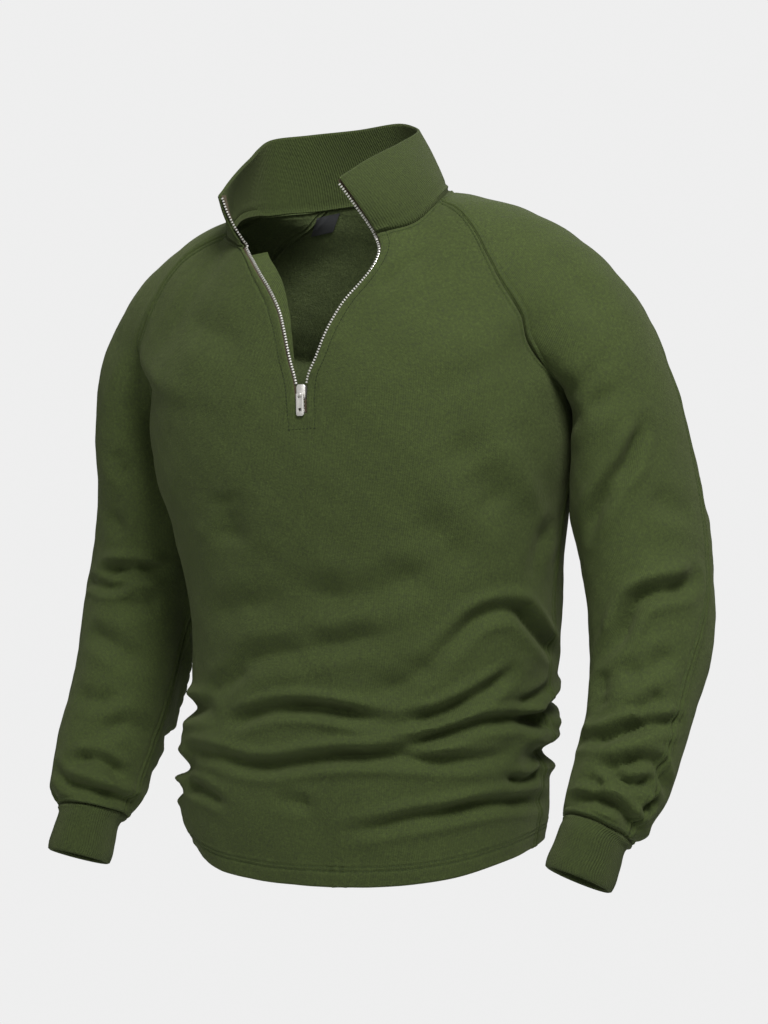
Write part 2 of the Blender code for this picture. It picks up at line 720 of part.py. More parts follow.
# ---- folds ----
FOLD_COLUMNS = ("depth", "width", "path")
"""On the torso a path holds (angle, height); on a sleeve it holds (share of the path, angle)."""
TORSO_FOLDS = (
    (0.0075, 0.011, ((-112, -0.477), (-102, -0.468), (-92, -0.465), (-68, -0.477), (-42, -0.468), (-22, -0.441))),
    (0.0080, 0.011, ((-146, -0.506), (-112, -0.514), (-96, -0.518), (-76, -0.508), (-44, -0.518), (-20, -0.516))),
    (0.0080, 0.010, ((-72, -0.503), (-56, -0.494), (-32, -0.487), (-12, -0.489), (6, -0.502))),
    (0.0050, 0.013, ((-84, -0.568), (-62, -0.567), (-40, -0.561), (-4, -0.566), (20, -0.560))),
    (0.0045, 0.010, ((-20, -0.543), (-4, -0.543), (12, -0.536))),
    (0.0050, 0.018, ((-112, -0.412), (-90, -0.402), (-66, -0.402))),
    (0.0060, 0.015, ((-74, -0.438), (-56, -0.420), (-40, -0.392), (-26, -0.384), (-8, -0.403), (8, -0.432))),
    (0.0040, 0.010, ((-28, -0.482), (-2, -0.476))),
    (0.0045, 0.011, ((-150, -0.540), (-128, -0.546), (-108, -0.556))),
    (0.0055, 0.012, ((-158, -0.476), (-136, -0.470), (-118, -0.474))),
    (-0.0055, 0.014, ((-160, -0.492), (-124, -0.494), (-90, -0.489), (-60, -0.484), (-30, -0.475))),
    (-0.0050, 0.013, ((-30, -0.504), (-4, -0.507), (16, -0.512))),
    (-0.0045, 0.016, ((-150, -0.535), (-110, -0.543), (-60, -0.541), (-20, -0.532))),
    (0.0050, 0.020, ((-106, -0.262), (-113, -0.312), (-124, -0.352))),
    (0.0070, 0.012, ((60, -0.470), (84, -0.476), (112, -0.470), (140, -0.478))),
    (0.0080, 0.012, ((24, -0.512), (50, -0.505), (80, -0.511), (104, -0.518))),
    (0.0070, 0.011, ((92, -0.496), (120, -0.502), (150, -0.500), (172, -0.508))),
    (0.0055, 0.013, ((36, -0.550), (70, -0.556), (100, -0.552), (150, -0.545))),
    (0.0050, 0.017, ((48, -0.420), (80, -0.408), (110, -0.414), (136, -0.430))),
    (-0.0055, 0.014, ((30, -0.490), (70, -0.491), (110, -0.487), (160, -0.489))),
)
LEFT_SLEEVE_FOLDS = (
    (0.0065, 0.012, ((0.590, 122), (0.560, 104), (0.515, 84), (0.475, 60), (0.430, 44))),
    (0.0070, 0.011, ((0.655, 20), (0.672, 50), (0.690, 70), (0.725, 88), (0.790, 116))),
    (0.0070, 0.009, ((0.880, 150), (0.874, 118), (0.862, 78), (0.836, 56), (0.808, 42))),
    (0.0055, 0.009, ((0.908, 140), (0.897, 112), (0.884, 74), (0.872, 34))),
    (0.0070, 0.009, ((0.950, 140), (0.938, 104), (0.925, 80), (0.915, 58), (0.925, 38))),
    (-0.0045, 0.008, ((0.940, 92), (0.948, 76), (0.942, 58))),
    (0.0060, 0.008, ((0.985, 130), (0.972, 96), (0.975, 70), (0.984, 44))),
    (0.0070, 0.009, ((0.968, 52), (0.950, 36), (0.940, 16))),
    (0.0060, 0.011, ((0.640, -150), (0.655, -110), (0.640, -70), (0.600, -40))),
    (0.0055, 0.010, ((0.860, -160), (0.850, -110), (0.870, -60))),
    (0.0060, 0.009, ((0.930, -40), (0.918, -90), (0.935, -150))),
    (0.0060, 0.010, ((0.700, 170), (0.715, -150), (0.700, -115))),
)
RIGHT_SLEEVE_FOLDS = (
    (0.0080, 0.010, ((0.655, 10), (0.634, 46), (0.620, 84), (0.617, 120), (0.622, 160))),
    (0.0045, 0.013, ((0.730, 60), (0.742, 96), (0.765, 140))),
    (0.0060, 0.010, ((0.918, 40), (0.922, 80), (0.912, 118), (0.880, 154))),
    (0.0060, 0.010, ((0.926, 88), (0.940, 118), (0.940, 158))),
    (0.0070, 0.009, ((0.960, 24), (0.966, 56), (0.982, 100), (0.986, 140), (0.980, 180))),
    (-0.0050, 0.010, ((0.640, 20), (0.640, 50), (0.636, 84))),
    (-0.0050, 0.010, ((0.945, 10), (0.950, 50), (0.958, 84))),
    (0.0050, 0.013, ((0.400, 92), (0.424, 106), (0.450, 118))),
    (0.0060, 0.011, ((0.640, -150), (0.650, -110), (0.636, -70), (0.655, -20))),
    (0.0055, 0.010, ((0.850, -160), (0.862, -110), (0.850, -60))),
    (0.0060, 0.009, ((0.925, -30), (0.935, -90), (0.920, -150))),
)
FOLD_STEPS = 14
FOLD_DEPTH = 0.65          # of the depths in the tables, and of their widths: soft enough for the columns
FOLD_WIDTH = 1.25
FOLD_SHOULDER = 0.35       # height of the two raised lips beside a fold, as a share of its depth


def fold_lines(rows, place):
    """Each fold as a smooth line of points on the form."""
    lines = []
    for depth, width, path in rows:
        knots = np.array(path, float)
        points = place(knots[:, 0], knots[:, 1])
        lines.append((depth, width, curve_points(points, FOLD_STEPS)))
    return lines


def fold_depth(points, lines):
    """How far each point is pushed out, negative in a trough."""
    total = np.zeros(len(points))
    for depth, width, line in lines:
        start = line[:-1]
        step = np.diff(line, axis=0)
        gap = points[:, None, :] - start[None]
        along = np.clip(np.einsum("nij,ij->ni", gap, step) / np.einsum("ij,ij->i", step, step), 0, 1)
        apart = np.linalg.norm(gap - along[..., None] * step[None], axis=2)
        nearest = np.argmin(apart, axis=1)
        pick = np.arange(len(points))
        distance = apart[pick, nearest] / (width * FOLD_WIDTH)
        share = (nearest + along[pick, nearest]) / (len(line) - 1)
        fade = smooth_step(np.minimum(share, 1 - share), -0.12, 0.22)
        lips = FOLD_SHOULDER * np.exp(-(((distance - 2.0) / 0.9) ** 2))
        total += -depth * FOLD_DEPTH * fade * (np.exp(-(distance ** 2)) - lips)
    return total


TORSO_LINES = fold_lines(TORSO_FOLDS, torso_point)
SLEEVE_LINES = {
    1: fold_lines(LEFT_SLEEVE_FOLDS, LEFT_SLEEVE.point),
    -1: fold_lines(RIGHT_SLEEVE_FOLDS, RIGHT_SLEEVE.point),
}


# ---- cloth panels ----
class Panel:
    """A piece of cloth as quads over its outer points, which become a closed wall."""

    def __init__(self, name, grids, folds=()):
        self.name = name
        self.folds = folds
        self.points = []
        self.faces = []
        self.index = {}
        for grid, flip in grids:
            self.add(np.asarray(grid, float), flip)
        self.points = np.array(self.points)

    def vertex(self, point):
        key = place_key(point)
        if key not in self.index:
            self.index[key] = len(self.points)
            self.points.append(point)
        return self.index[key]

    def add(self, grid, flip):
        rows, columns = grid.shape[:2]
        for row in range(rows - 1):
            for step in range(columns - 1):
                corners = (grid[row, step], grid[row, step + 1], grid[row + 1, step + 1], grid[row + 1, step])
                face = []
                for corner in corners:
                    number = self.vertex(corner)
                    if number not in face:
                        face.append(number)
                if len(face) > 2:
                    self.faces.append(face[::-1] if flip else face)


def place_key(point):
    return tuple(np.round(np.asarray(point) * 1e6).astype(int))


def face_normal(points, face):
    first = points[face[2]] - points[face[0]]
    second = points[face[-1]] - points[face[1]]
    return np.cross(first, second)


def seam_normals(panels, fixed=None):
    """Normals shared by all panels that meet at a point, so that walls match along the seams."""
    total = {}
    for panel in panels:
        own = np.zeros_like(panel.points)
        for face in panel.faces:
            own[face] += face_normal(panel.points, face)
        for point, normal in zip(panel.points, unit(own)):
            key = place_key(point)
            total[key] = total.get(key, 0) + normal
    total.update(fixed or {})
    return [unit(np.array([total[place_key(point)] for point in panel.points])) for panel in panels]


def apply_folds(panels):
    moves = {}
    normals = seam_normals(panels)
    for panel, normal in zip(panels, normals):
        amount = fold_depth(panel.points, panel.folds) if panel.folds else np.zeros(len(panel.points))
        for number, point in enumerate(panel.points):
            key = place_key(point)
            old = moves.get(key)
            if old is None or abs(amount[number]) < abs(old[0]):
                moves[key] = (amount[number], normal[number])
    for panel in panels:
        moved = []
        for point in panel.points:
            amount, direction = moves[place_key(point)]
            moved.append(point + direction * amount)
        panel.points = np.array(moved)


def boundary_edges(faces):
    seen = {}
    for face in faces:
        for start, end in zip(face, face[1:] + face[:1]):
            seen[(start, end)] = True
    return [edge for edge in seen if (edge[1], edge[0]) not in seen]


def inset(points, faces, normals, amount):
    """Draws a panel's edges in by the same amount everywhere, square to the walls' rims."""
    owner = {}
    for face in faces:
        middle = points[face].mean(axis=0)
        for start, end in zip(face, face[1:] + face[:1]):
            owner[(start, end)] = middle
    inward = {}
    for start, end in boundary_edges(faces):
        line = unit(points[end] - points[start])
        middle = owner[(start, end)]
        side = unit(np.cross(normals[start] + normals[end], line))
        if side @ (middle - points[start]) < 0:
            side = -side
        for number in (start, end):
            inward.setdefault(number, []).append(side)
    moved = points.copy()
    for number, ways in inward.items():
        way = unit(sum(ways))
        reach = max(min(way @ each for each in ways), 0.4)
        moved[number] = points[number] + way * amount / reach
    return moved


def make_material(name, colour, roughness, metallic=0.0):
    material = bpy.data.materials.new(name)
    material.use_nodes = True
    shader = material.node_tree.nodes["Principled BSDF"]
    shader.inputs["Base Color"].default_value = (*colour, 1.0)
    shader.inputs["Roughness"].default_value = roughness
    shader.inputs["Metallic"].default_value = metallic
    return material


def make_object(name, points, faces, material, smooth_angle=50):
    mesh = bpy.data.meshes.new(name)
    mesh.from_pydata([tuple(map(float, point)) for point in points], [], [tuple(face) for face in faces])
    mesh.materials.append(material)
    mesh.shade_smooth()
    mesh.set_sharp_from_angle(angle=math.radians(smooth_angle))
    mesh.update()
    made = bpy.data.objects.new(name, mesh)
    bpy.context.scene.collection.objects.link(made)
    return made


def split_quads(points, faces):
    """Triangles along each quad's shorter diagonal."""
    made = []
    for face in faces:
        if len(face) == 3:
            made.append(list(face))
            continue
        first, second, third, fourth = face
        if np.linalg.norm(points[first] - points[third]) <= np.linalg.norm(points[second] - points[fourth]):
            made += [[first, second, third], [first, third, fourth]]
        else:
            made += [[second, third, fourth], [second, fourth, first]]
    return made


def wall_object(name, outer, inner, faces, material):
    """A closed wall between outer and inner points, with a rim along every edge."""
    count = len(outer)
    faces = split_quads(outer, faces)
    all_faces = [list(face) for face in faces]
    all_faces += [[number + count for number in face[::-1]] for face in faces]
    for start, end in boundary_edges(faces):
        all_faces.append([end, start, start + count, end + count])
    return make_object(name, np.concatenate([outer, inner]), all_faces, material)


def torso_thickness(points):
    """The fleece, doubled where the hem is turned up."""
    angles = np.degrees(np.arctan2(points[:, 1], points[:, 0] - torso_size(points[:, 2], "middle_x")))
    turned = points[:, 2] < hem_height(angles) + HEM_TURN
    return np.where(turned, 2 * FLEECE, FLEECE)


def even_thickness(amount):
    return lambda points: np.full(len(points), amount)


# ---- collar and cuffs ----
def collar_grid(front, sleeves, back):
    """Rows from the neck seam up, columns from the left front edge round the back to the right front edge."""
    neck = np.concatenate([
        front[1][0],
        sleeves[1][0][1:],
        back[0][1:],
        sleeves[-1][0][::-1][1:],
        front[-1][0][::-1][1:],
    ])
    lengths = np.concatenate([[0], np.cumsum(np.linalg.norm(np.diff(neck, axis=0), axis=1))])
    top = curve_points(COLLAR_TOP, 0, lengths / lengths[-1])
    middle = np.array([0.0, -0.02, 0.0])
    rows = []
    for row in range(COLLAR_ROWS + 1):
        up = row / COLLAR_ROWS
        line = neck + (top - neck) * up
        outward = unit((line - middle) * np.array([1.0, 1.0, 0.0]))
        rows.append(line + outward * COLLAR_BULGE * math.sin(math.pi * up))
    return np.array(rows)


def cuff_grid(sleeve_end, direction):
    """Rows from the cuff seam to the opening, in the columns of the sleeve."""
    direction = unit(np.array(direction))
    centre = sleeve_end[:-1].mean(axis=0)
    front = unit(np.array([0.0, -1.0, 0.0]) - direction * -direction[1])
    out = np.cross(front, direction)
    spokes = sleeve_end - centre
    spokes = spokes - np.outer(spokes @ direction, direction)
    across = spokes @ out
    deep = spokes @ front
    angles = np.arctan2(deep, across)
    rows = [sleeve_end]
    for along, half_out, half_deep in CUFF_RINGS:
        if along == 0:
            continue
        ring = centre + direction * along
        ring = ring + np.outer(np.cos(angles) * half_out, out) + np.outer(np.sin(angles) * half_deep, front)
        rows.append(ring)
    grid = np.array(rows)
    grid[:, -1] = grid[:, 0]
    return grid


# ---- zip ----
class ZipRun:
    """The front edge of the cloth from the collar's top to the foot of the zip, on one side."""

    def __init__(self, side, collar, collar_points, front, front_points):
        edge = 0 if side > 0 else -1
        beside = (1, 2) if side > 0 else (-2, -3)
        stations = []
        for row in range(COLLAR_ROWS, -1, -1):
            stations.append((collar, collar_points[row, edge], [collar_points[row, step] for step in beside]))
        for row in range(1, ZIP_ROWS + 1):
            stations.append((front, front_points[row, 0], [front_points[row, 1]]))
        inner = []
        ways = []
        walls = []
        for panel, at, inside in stations:
            number = panel.index[place_key(at)]
            wall = unit(panel.outer[number] - panel.inner[number])
            others = [panel.inner[panel.index[place_key(point)]] for point in inside]
            choices = [unit(other - panel.inner[number]) for other in others]
            ways.append(min(choices, key=lambda way: way @ wall))
            walls.append(wall)
            deeper = COLLAR_STEP * (1 - smooth_step(len(inner), COLLAR_ROWS, COLLAR_ROWS + 4))
            inner.append(panel.inner[number] - wall * deeper)
        self.inner = np.array(inner)
        along = unit(np.gradient(self.inner, axis=0))
        ways = np.array(ways)
        self.under = unit(ways - along * np.einsum("ni,ni->n", ways, along)[:, None])
        padded = np.concatenate([self.under[:1], self.under[:1], self.under, self.under[-1:], self.under[-1:]])
        self.beyond = unit(sum(padded[step:step + len(ways)] for step in range(5)))
        normals = unit(np.cross(along, self.under))
        facing_out = np.einsum("ni,ni->n", normals, np.array(walls)) > 0
        self.normals = np.where(facing_out[:, None], normals, -normals)
        self.heights = self.inner[:, 2]

    def read(self, values, heights):
        order = np.argsort(self.heights)
        return np.stack([np.interp(heights, self.heights[order], values[order, axis]) for axis in range(3)], -1)

    def line(self, heights, across, depth):
        """Points across from the cloth's edge, positive beyond it, and at a depth behind the cloth."""
        across = np.asarray(across) + 0 * heights
        depth = np.asarray(depth) + 0 * heights
        at = self.read(self.inner, heights)
        outside = (across > 0)[:, None]
        under = np.where(outside, self.read(self.beyond, heights), self.read(self.under, heights))
        normal = self.read(self.normals, heights)
        return at - under * across[:, None] - normal * depth[:, None]

    def strip(self, name, heights, across, front_depth, back_depth, side, material):
        """A flat strip along the edge: across holds the places of its columns."""
        outer = np.concatenate([self.line(heights, place, front_depth) for place in across])
        inner = np.concatenate([self.line(heights, place, back_depth) for place in across])
        count = len(heights)
        faces = []
        for step in range(len(across) - 1):
            for row in range(count - 1):
                face = [step * count + row, (step + 1) * count + row]
                face += [(step + 1) * count + row + 1, step * count + row + 1]
                faces.append(face if side > 0 else face[::-1])
        return wall_object(name, outer, inner, faces, material)


def block(origin, axes, outline_rows, depth, missing=()):
    """A plate of cells three across: rows of (down, places across), with some middle cells missing."""
    across_way, up_way, out_way = axes
    outer = []
    inner = []
    for down, places in outline_rows:
        for place in places:
            at = origin - up_way * down + across_way * place
            outer.append(at + out_way * depth / 2)
            inner.append(at - out_way * depth / 2)
    faces = []
    width = len(outline_rows[0][1])
    for row in range(len(outline_rows) - 1):
        for step in range(width - 1):
            if (row, step) in missing:
                continue
            first = row * width + step
            faces.append([first, first + width, first + width + 1, first + 1])
    return np.array(outer), np.array(inner), faces


# ---- build ----
for old in list(bpy.data.objects):
    bpy.data.objects.remove(old, do_unlink=True)

GREEN = (0.058, 0.086, 0.031)
GREEN_RIB = (0.052, 0.079, 0.029)
SLEEVE_GRIDS = {1: sleeve_grid(LEFT_SLEEVE), -1: sleeve_grid(RIGHT_SLEEVE)}
FRONT_GRIDS = front_grid({side: grid[:, 0] for side, grid in SLEEVE_GRIDS.items()})
BACK_GRID = back_grid({side: grid[:, -1] for side, grid in SLEEVE_GRIDS.items()})
COLLAR_GRID = collar_grid(FRONT_GRIDS, SLEEVE_GRIDS, BACK_GRID)
CUFF_GRIDS = {
    1: cuff_grid(SLEEVE_GRIDS[1][-1], LEFT_CUFF_DIRECTION),
    -1: cuff_grid(SLEEVE_GRIDS[-1][-1], RIGHT_CUFF_DIRECTION),
}
STRIP = np.stack([FRONT_GRIDS[-1][ZIP_ROWS:, 0], FRONT_GRIDS[1][ZIP_ROWS:, 0]], axis=1)

PANELS = {}
THICKNESS = {}
COLOURS = {}


def add_panel(name, grids, folds, thickness, colour):
    panel = Panel(name, grids, folds)
    PANELS[name] = panel
    THICKNESS[name] = thickness
    COLOURS[name] = colour
    return panel


add_panel(
    "front",
    ((FRONT_GRIDS[1], True), (FRONT_GRIDS[-1], False), (STRIP, True)),
    TORSO_LINES, torso_thickness, GREEN,
)
add_panel("back", ((BACK_GRID, True),), TORSO_LINES, torso_thickness, GREEN)
for side, side_name in ((1, "left"), (-1, "right")):
    grid = SLEEVE_GRIDS[side]
    folds = SLEEVE_LINES[side]
    halves = (("front", grid[:, :SLEEVE_FRONT_COLUMNS + 1]), ("back", grid[:, SLEEVE_FRONT_COLUMNS:]))
    for part_name, half in halves:
        name = f"sleeve_{side_name}_{part_name}"
        add_panel(name, ((half, side > 0),), folds, even_thickness(FLEECE), GREEN)
    add_panel(f"cuff_{side_name}", ((CUFF_GRIDS[side], side > 0),), (), even_thickness(CUFF_WALL), GREEN_RIB)
add_panel("collar", ((COLLAR_GRID, False),), (), even_thickness(COLLAR_WALL), GREEN_RIB)

apply_folds(list(PANELS.values()))
UNDERARMS = {}
for side, side_name in ((1, "left"), (-1, "right")):
    grid = SLEEVE_GRIDS[side]
    back_columns = (0, 1) if side > 0 else (-1, -2)
    for torso_name, torso, torso_columns, end in (
        ("front", FRONT_GRIDS[side], (-1, -2), (0, 1)),
        ("back", BACK_GRID, back_columns, (-1, -2)),
    ):
        panel = PANELS[torso_name]
        for row in range(TUCK_ROW, YOKE_ROWS + 1):
            at = grid[row, end[0]]
            seam = unit(grid[row + 1, end[0]] - grid[row - 1, end[0]])
            ways = []
            for beside in (grid[row, end[1]], torso[row, torso_columns[1]]):
                way = beside - at
                ways.append(unit(way - seam * (way @ seam)))
            key = place_key(panel.points[panel.index[place_key(at)]])
            if row == YOKE_ROWS:
                UNDERARMS[key] = np.array([0.0, 0.0, -1.0])
            elif ways[0] @ ways[1] > PINCH:
                UNDERARMS[key] = unit(ways[0] + ways[1])
for panel, normal in zip(PANELS.values(), seam_normals(list(PANELS.values()), UNDERARMS)):
    panel.outer = inset(panel.points, panel.faces, normal, SEAM_GAP / 2)
    panel.inner = panel.outer - normal * THICKNESS[panel.name](panel.outer)[:, None]
    material = make_material(panel.name, COLOURS[panel.name], 0.92)
    wall_object(panel.name, panel.outer, panel.inner, panel.faces, material)

# ---- zip tapes, chains and facing ----
TAPE_COLOUR = (0.085, 0.062, 0.040)
METAL_COLOUR = (0.62, 0.62, 0.60)
TAPE_MIDDLE = LAYER_GAP + ZIP_TAPE / 2
SLIDER_FOOT = SLIDER_TOP - SLIDER_LENGTH
ZIP_RUNS = {}
for side, side_name in ((1, "left"), (-1, "right")):
    run = ZipRun(side, PANELS["collar"], COLLAR_GRID, PANELS["front"], FRONT_GRIDS[side])
    ZIP_RUNS[side] = run
    rows = run.heights[(run.heights > SLIDER_FOOT + 0.002)]
    below = np.array([SLIDER_FOOT - 0.0003, SLIDER_FOOT - 0.0008, run.heights[-1] + 0.0004])
    heights = np.concatenate([rows, below])
    shows = np.where(heights < SLIDER_FOOT - 0.0005, TAPE_SHOWS_BELOW, TAPE_SHOWS)
    run.strip(
        f"zip_tape_{side_name}", heights, (-TAPE_UNDER, 0.0, shows),
        LAYER_GAP, LAYER_GAP + ZIP_TAPE, side, make_material(f"zip_tape_{side_name}", TAPE_COLOUR, 0.85),
    )
    rows = run.heights[(run.heights > SLIDER_TOP + 0.003)]
    heights = np.concatenate([[rows[0] - 0.001], rows[1:], [SLIDER_TOP + SEAM_GAP]])
    teeth_start = TAPE_SHOWS + SEAM_GAP
    run.strip(
        f"zip_teeth_{side_name}", heights, (teeth_start, teeth_start + TEETH_WIDTH),
        TAPE_MIDDLE - TEETH_DEPTH / 2, TAPE_MIDDLE + TEETH_DEPTH / 2, side,
        make_material(f"zip_teeth_{side_name}", METAL_COLOUR, 0.35, 1.0),
    )

RIGHT_RUN = ZIP_RUNS[-1]
FACING_DEPTH = LAYER_GAP * 2 + ZIP_TAPE
FACING_STEP = 0.0004       # further back where it passes the teeth
facing_rows = RIGHT_RUN.heights[(RIGHT_RUN.heights < -0.045) & (RIGHT_RUN.heights > FACING_WIDTHS[-1][0])]
beyond = smooth_read(
    facing_rows, column(FACING_WIDTHS, FACING_COLUMNS, "height"), column(FACING_WIDTHS, FACING_COLUMNS, "beyond")
)
facing_outer = []
facing_inner = []
facing_lines = (
    (-FACING_UNDER, FACING_DEPTH),
    (0 * beyond, FACING_DEPTH + FACING_STEP),
    (beyond, FACING_DEPTH + FACING_STEP + FACING_LEAN * beyond),
)
for place, depth in facing_lines:
    facing_outer.append(RIGHT_RUN.line(facing_rows, place, depth))
    facing_inner.append(RIGHT_RUN.line(facing_rows, place, depth + FACING))
count = len(facing_rows)
facing_faces = [
    [step * count + row + 1, (step + 1) * count + row + 1, (step + 1) * count + row, step * count + row]
    for step in range(2)
    for row in range(count - 1)
]
wall_object(
    "zip_facing_right", np.concatenate(facing_outer), np.concatenate(facing_inner), facing_faces,
    make_material("zip_facing_right", GREEN, 0.9),
)

# ---- slider, pull tab and the closed foot of the zip ----
LEFT_TOP = ZIP_RUNS[1].line(np.array([SLIDER_TOP, SLIDER_FOOT]), 0.0, TAPE_MIDDLE)
RIGHT_TOP = ZIP_RUNS[-1].line(np.array([SLIDER_TOP, SLIDER_FOOT]), 0.0, TAPE_MIDDLE)
SLIDER_LINE = (LEFT_TOP + RIGHT_TOP) / 2
ZIP_UP = unit(SLIDER_LINE[0] - SLIDER_LINE[1])
ZIP_ACROSS = unit(np.array([1.0, 0.0, 0.0]) - ZIP_UP * ZIP_UP[0])
ZIP_OUT = np.cross(ZIP_ACROSS, ZIP_UP)
ZIP_AXES = (ZIP_ACROSS, ZIP_UP, ZIP_OUT)


def three_across(rows, middle_half):
    """Rows of (down, places across) whose middle cell has the given half width."""
    return [(down, (-width / 2, -middle_half, middle_half, width / 2)) for down, width in rows]


slider_rows = three_across(SLIDER_ROWS, BAIL_WIDTH / 2)
outer, inner, faces = block(SLIDER_LINE[0], ZIP_AXES, slider_rows, SLIDER_DEPTH)
BAIL_CELL = (2, 1)
count = len(outer)
bail_face = faces[BAIL_CELL[0] * 3 + BAIL_CELL[1]]
all_faces = [face for face in faces if face is not bail_face]
all_faces += [[number + count for number in face[::-1]] for face in faces]
for start, end in boundary_edges(faces):
    all_faces.append([end, start, start + count, end + count])
PIVOT = SLIDER_LINE[0] - ZIP_UP * TAB_PIVOT_DOWN + ZIP_OUT * (SLIDER_DEPTH / 2 + TAB_PIVOT_OUT)
top_left, bottom_left, bottom_right, top_right = bail_face
arc = []
for step in range(7):
    angle = math.pi * step / 6
    arc.append(ZIP_UP * math.cos(angle) * BAIL_RADIUS + ZIP_OUT * math.sin(angle) * BAIL_RADIUS)
points = list(np.concatenate([outer, inner]))
left_arc = []
right_arc = []
for offset in arc:
    left_arc.append(len(points))
    points.append(PIVOT - ZIP_ACROSS * BAIL_WIDTH / 2 + offset)
    right_arc.append(len(points))
    points.append(PIVOT + ZIP_ACROSS * BAIL_WIDTH / 2 + offset)
all_faces.append([bottom_left, *left_arc[::-1], top_left])
all_faces.append([top_right, *right_arc, bottom_right])
left_chain = [top_left, *left_arc, bottom_left]
right_chain = [top_right, *right_arc, bottom_right]
for step in range(len(left_chain) - 1):
    all_faces.append([left_chain[step], left_chain[step + 1], right_chain[step + 1], right_chain[step]])
make_object("slider", points, all_faces, make_material("slider", METAL_COLOUR, 0.3, 1.0), 35)

TAB_END = TAB_ROWS[-1][0]
low = PIVOT - ZIP_UP * TAB_END
surface = point_at(low[0], low[2])
slope = settle(np.array([surface]))[0]
aim = slope + ZIP_OUT * (TAB_REST_GAP + TAB_THICKNESS / 2) - PIVOT
TAB_DOWN = unit(aim - ZIP_ACROSS * (aim @ ZIP_ACROSS))
TAB_OUT = np.cross(ZIP_ACROSS, -TAB_DOWN)
tab_rows = [(down, (-half, -slot, slot, half)) for down, half, slot in TAB_ROWS]
outer, inner, faces = block(PIVOT, (ZIP_ACROSS, -TAB_DOWN, TAB_OUT), tab_rows, TAB_THICKNESS, ((0, 1), (2, 1)))
tab = wall_object(
    "pull_tab", outer - PIVOT, inner - PIVOT, faces, make_material("pull_tab", METAL_COLOUR, 0.3, 1.0)
)
tab.location = tuple(map(float, PIVOT))


def zip_block(name, top, bottom, width, depth, roughness):
    middle = (ZIP_RUNS[1].line(np.array([top, bottom]), 0.0, TAPE_MIDDLE)
              + ZIP_RUNS[-1].line(np.array([top, bottom]), 0.0, TAPE_MIDDLE)) / 2
    up = unit(middle[0] - middle[1])
    across = unit(np.array([1.0, 0.0, 0.0]) - up * up[0])
    length = float(np.linalg.norm(middle[0] - middle[1]))
    rows = three_across(((0, width), (length, width)), width / 6)
    outer, inner, faces = block(middle[0], (across, up, np.cross(across, up)), rows, depth)
    wall_object(name, outer, inner, faces, make_material(name, METAL_COLOUR, roughness, 1.0))


zip_block("zip_teeth_closed", SLIDER_FOOT - SEAM_GAP, CLOSED_TEETH_END, CLOSED_TEETH_WIDTH, TEETH_DEPTH, 0.35)
stop_top = CLOSED_TEETH_END - SEAM_GAP
zip_block("zip_bottom_stop", stop_top, stop_top - STOP_LENGTH, STOP_WIDTH, 0.0028, 0.35)

# ---- neck label ----
back = PANELS["back"]
label_columns = [
    step for step in range(BACK_COLUMNS + 1) if LABEL_TO_X <= BACK_GRID[0, step, 0] <= LABEL_FROM_X
]
label_outer = []
label_inner = []
for number, row in enumerate(LABEL_ROWS):
    gap = LAYER_GAP * (1 + number)  # it hangs a little free of the cloth below its seam
    upper = int(row)
    part = row - upper
    for step in label_columns:
        first = back.index[place_key(BACK_GRID[upper, step])]
        second = back.index[place_key(BACK_GRID[upper + 1, step])]
        at = back.inner[first] * (1 - part) + back.inner[second] * part
        walls = [unit(back.outer[end] - back.inner[end]) for end in (first, second)]
        normal = unit(walls[0] * (1 - part) + walls[1] * part)
        label_outer.append(at - normal * gap)
        label_inner.append(at - normal * (gap + LABEL_THICKNESS))
count = len(label_columns)
label_faces = [
    [row * count + step, (row + 1) * count + step, (row + 1) * count + step + 1, row * count + step + 1]
    for row in range(len(LABEL_ROWS) - 1)
    for step in range(count - 1)
]
wall_object(
    "neck_label", np.array(label_outer), np.array(label_inner), label_faces,
    make_material("neck_label", (0.035, 0.037, 0.040), 0.7),
)
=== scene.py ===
"""Looks of a quarter-zip raglan sweatshirt in dark olive fleece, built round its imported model.

Metres, +Z up. The front faces -Y and the wearer's left is +X; side is 1 for the left and -1 for the right.
The sections follow the garment as it is put together: body and sleeves, creases, collar, cuffs, zip,
sewing and label, and last the plain room round it.
"""
import math

import bmesh
import bpy
import numpy as np
from mathutils import Matrix, Vector
from mathutils.bvhtree import BVHTree


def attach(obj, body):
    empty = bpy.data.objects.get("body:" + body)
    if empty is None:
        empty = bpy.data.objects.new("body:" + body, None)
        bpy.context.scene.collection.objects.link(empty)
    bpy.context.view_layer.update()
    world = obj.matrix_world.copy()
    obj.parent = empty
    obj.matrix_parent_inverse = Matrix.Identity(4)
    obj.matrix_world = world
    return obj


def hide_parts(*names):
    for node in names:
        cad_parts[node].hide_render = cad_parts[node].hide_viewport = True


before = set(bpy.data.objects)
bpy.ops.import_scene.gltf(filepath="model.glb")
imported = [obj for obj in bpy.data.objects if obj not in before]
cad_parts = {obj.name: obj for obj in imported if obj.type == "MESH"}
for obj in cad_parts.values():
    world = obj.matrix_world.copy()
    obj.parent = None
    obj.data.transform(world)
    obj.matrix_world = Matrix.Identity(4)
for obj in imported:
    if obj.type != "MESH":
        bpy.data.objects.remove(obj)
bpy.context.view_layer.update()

# ---- camera ----
# A portrait view from the wearer's left front, level with the chest. Creases on the sides that it sees
# are placed by the pixel where they lie, and cast from here onto the cloth.
VIEW_WIDTH = 768
VIEW_HEIGHT = 1024
VIEW_TURN = 26.0
VIEW_RISE = 2.5
VIEW_ROLL = 4.0
VIEW_DISTANCE = 1.85
PIXELS_PER_METRE = 1042.0
ORIGIN_PIXEL = (336.0, 207.0)
SENSOR = 36.0
CAMERA_REACH = 50


def add_object(name, data):
    made = bpy.data.objects.new(name, data)
    bpy.context.scene.collection.objects.link(made)
    return made


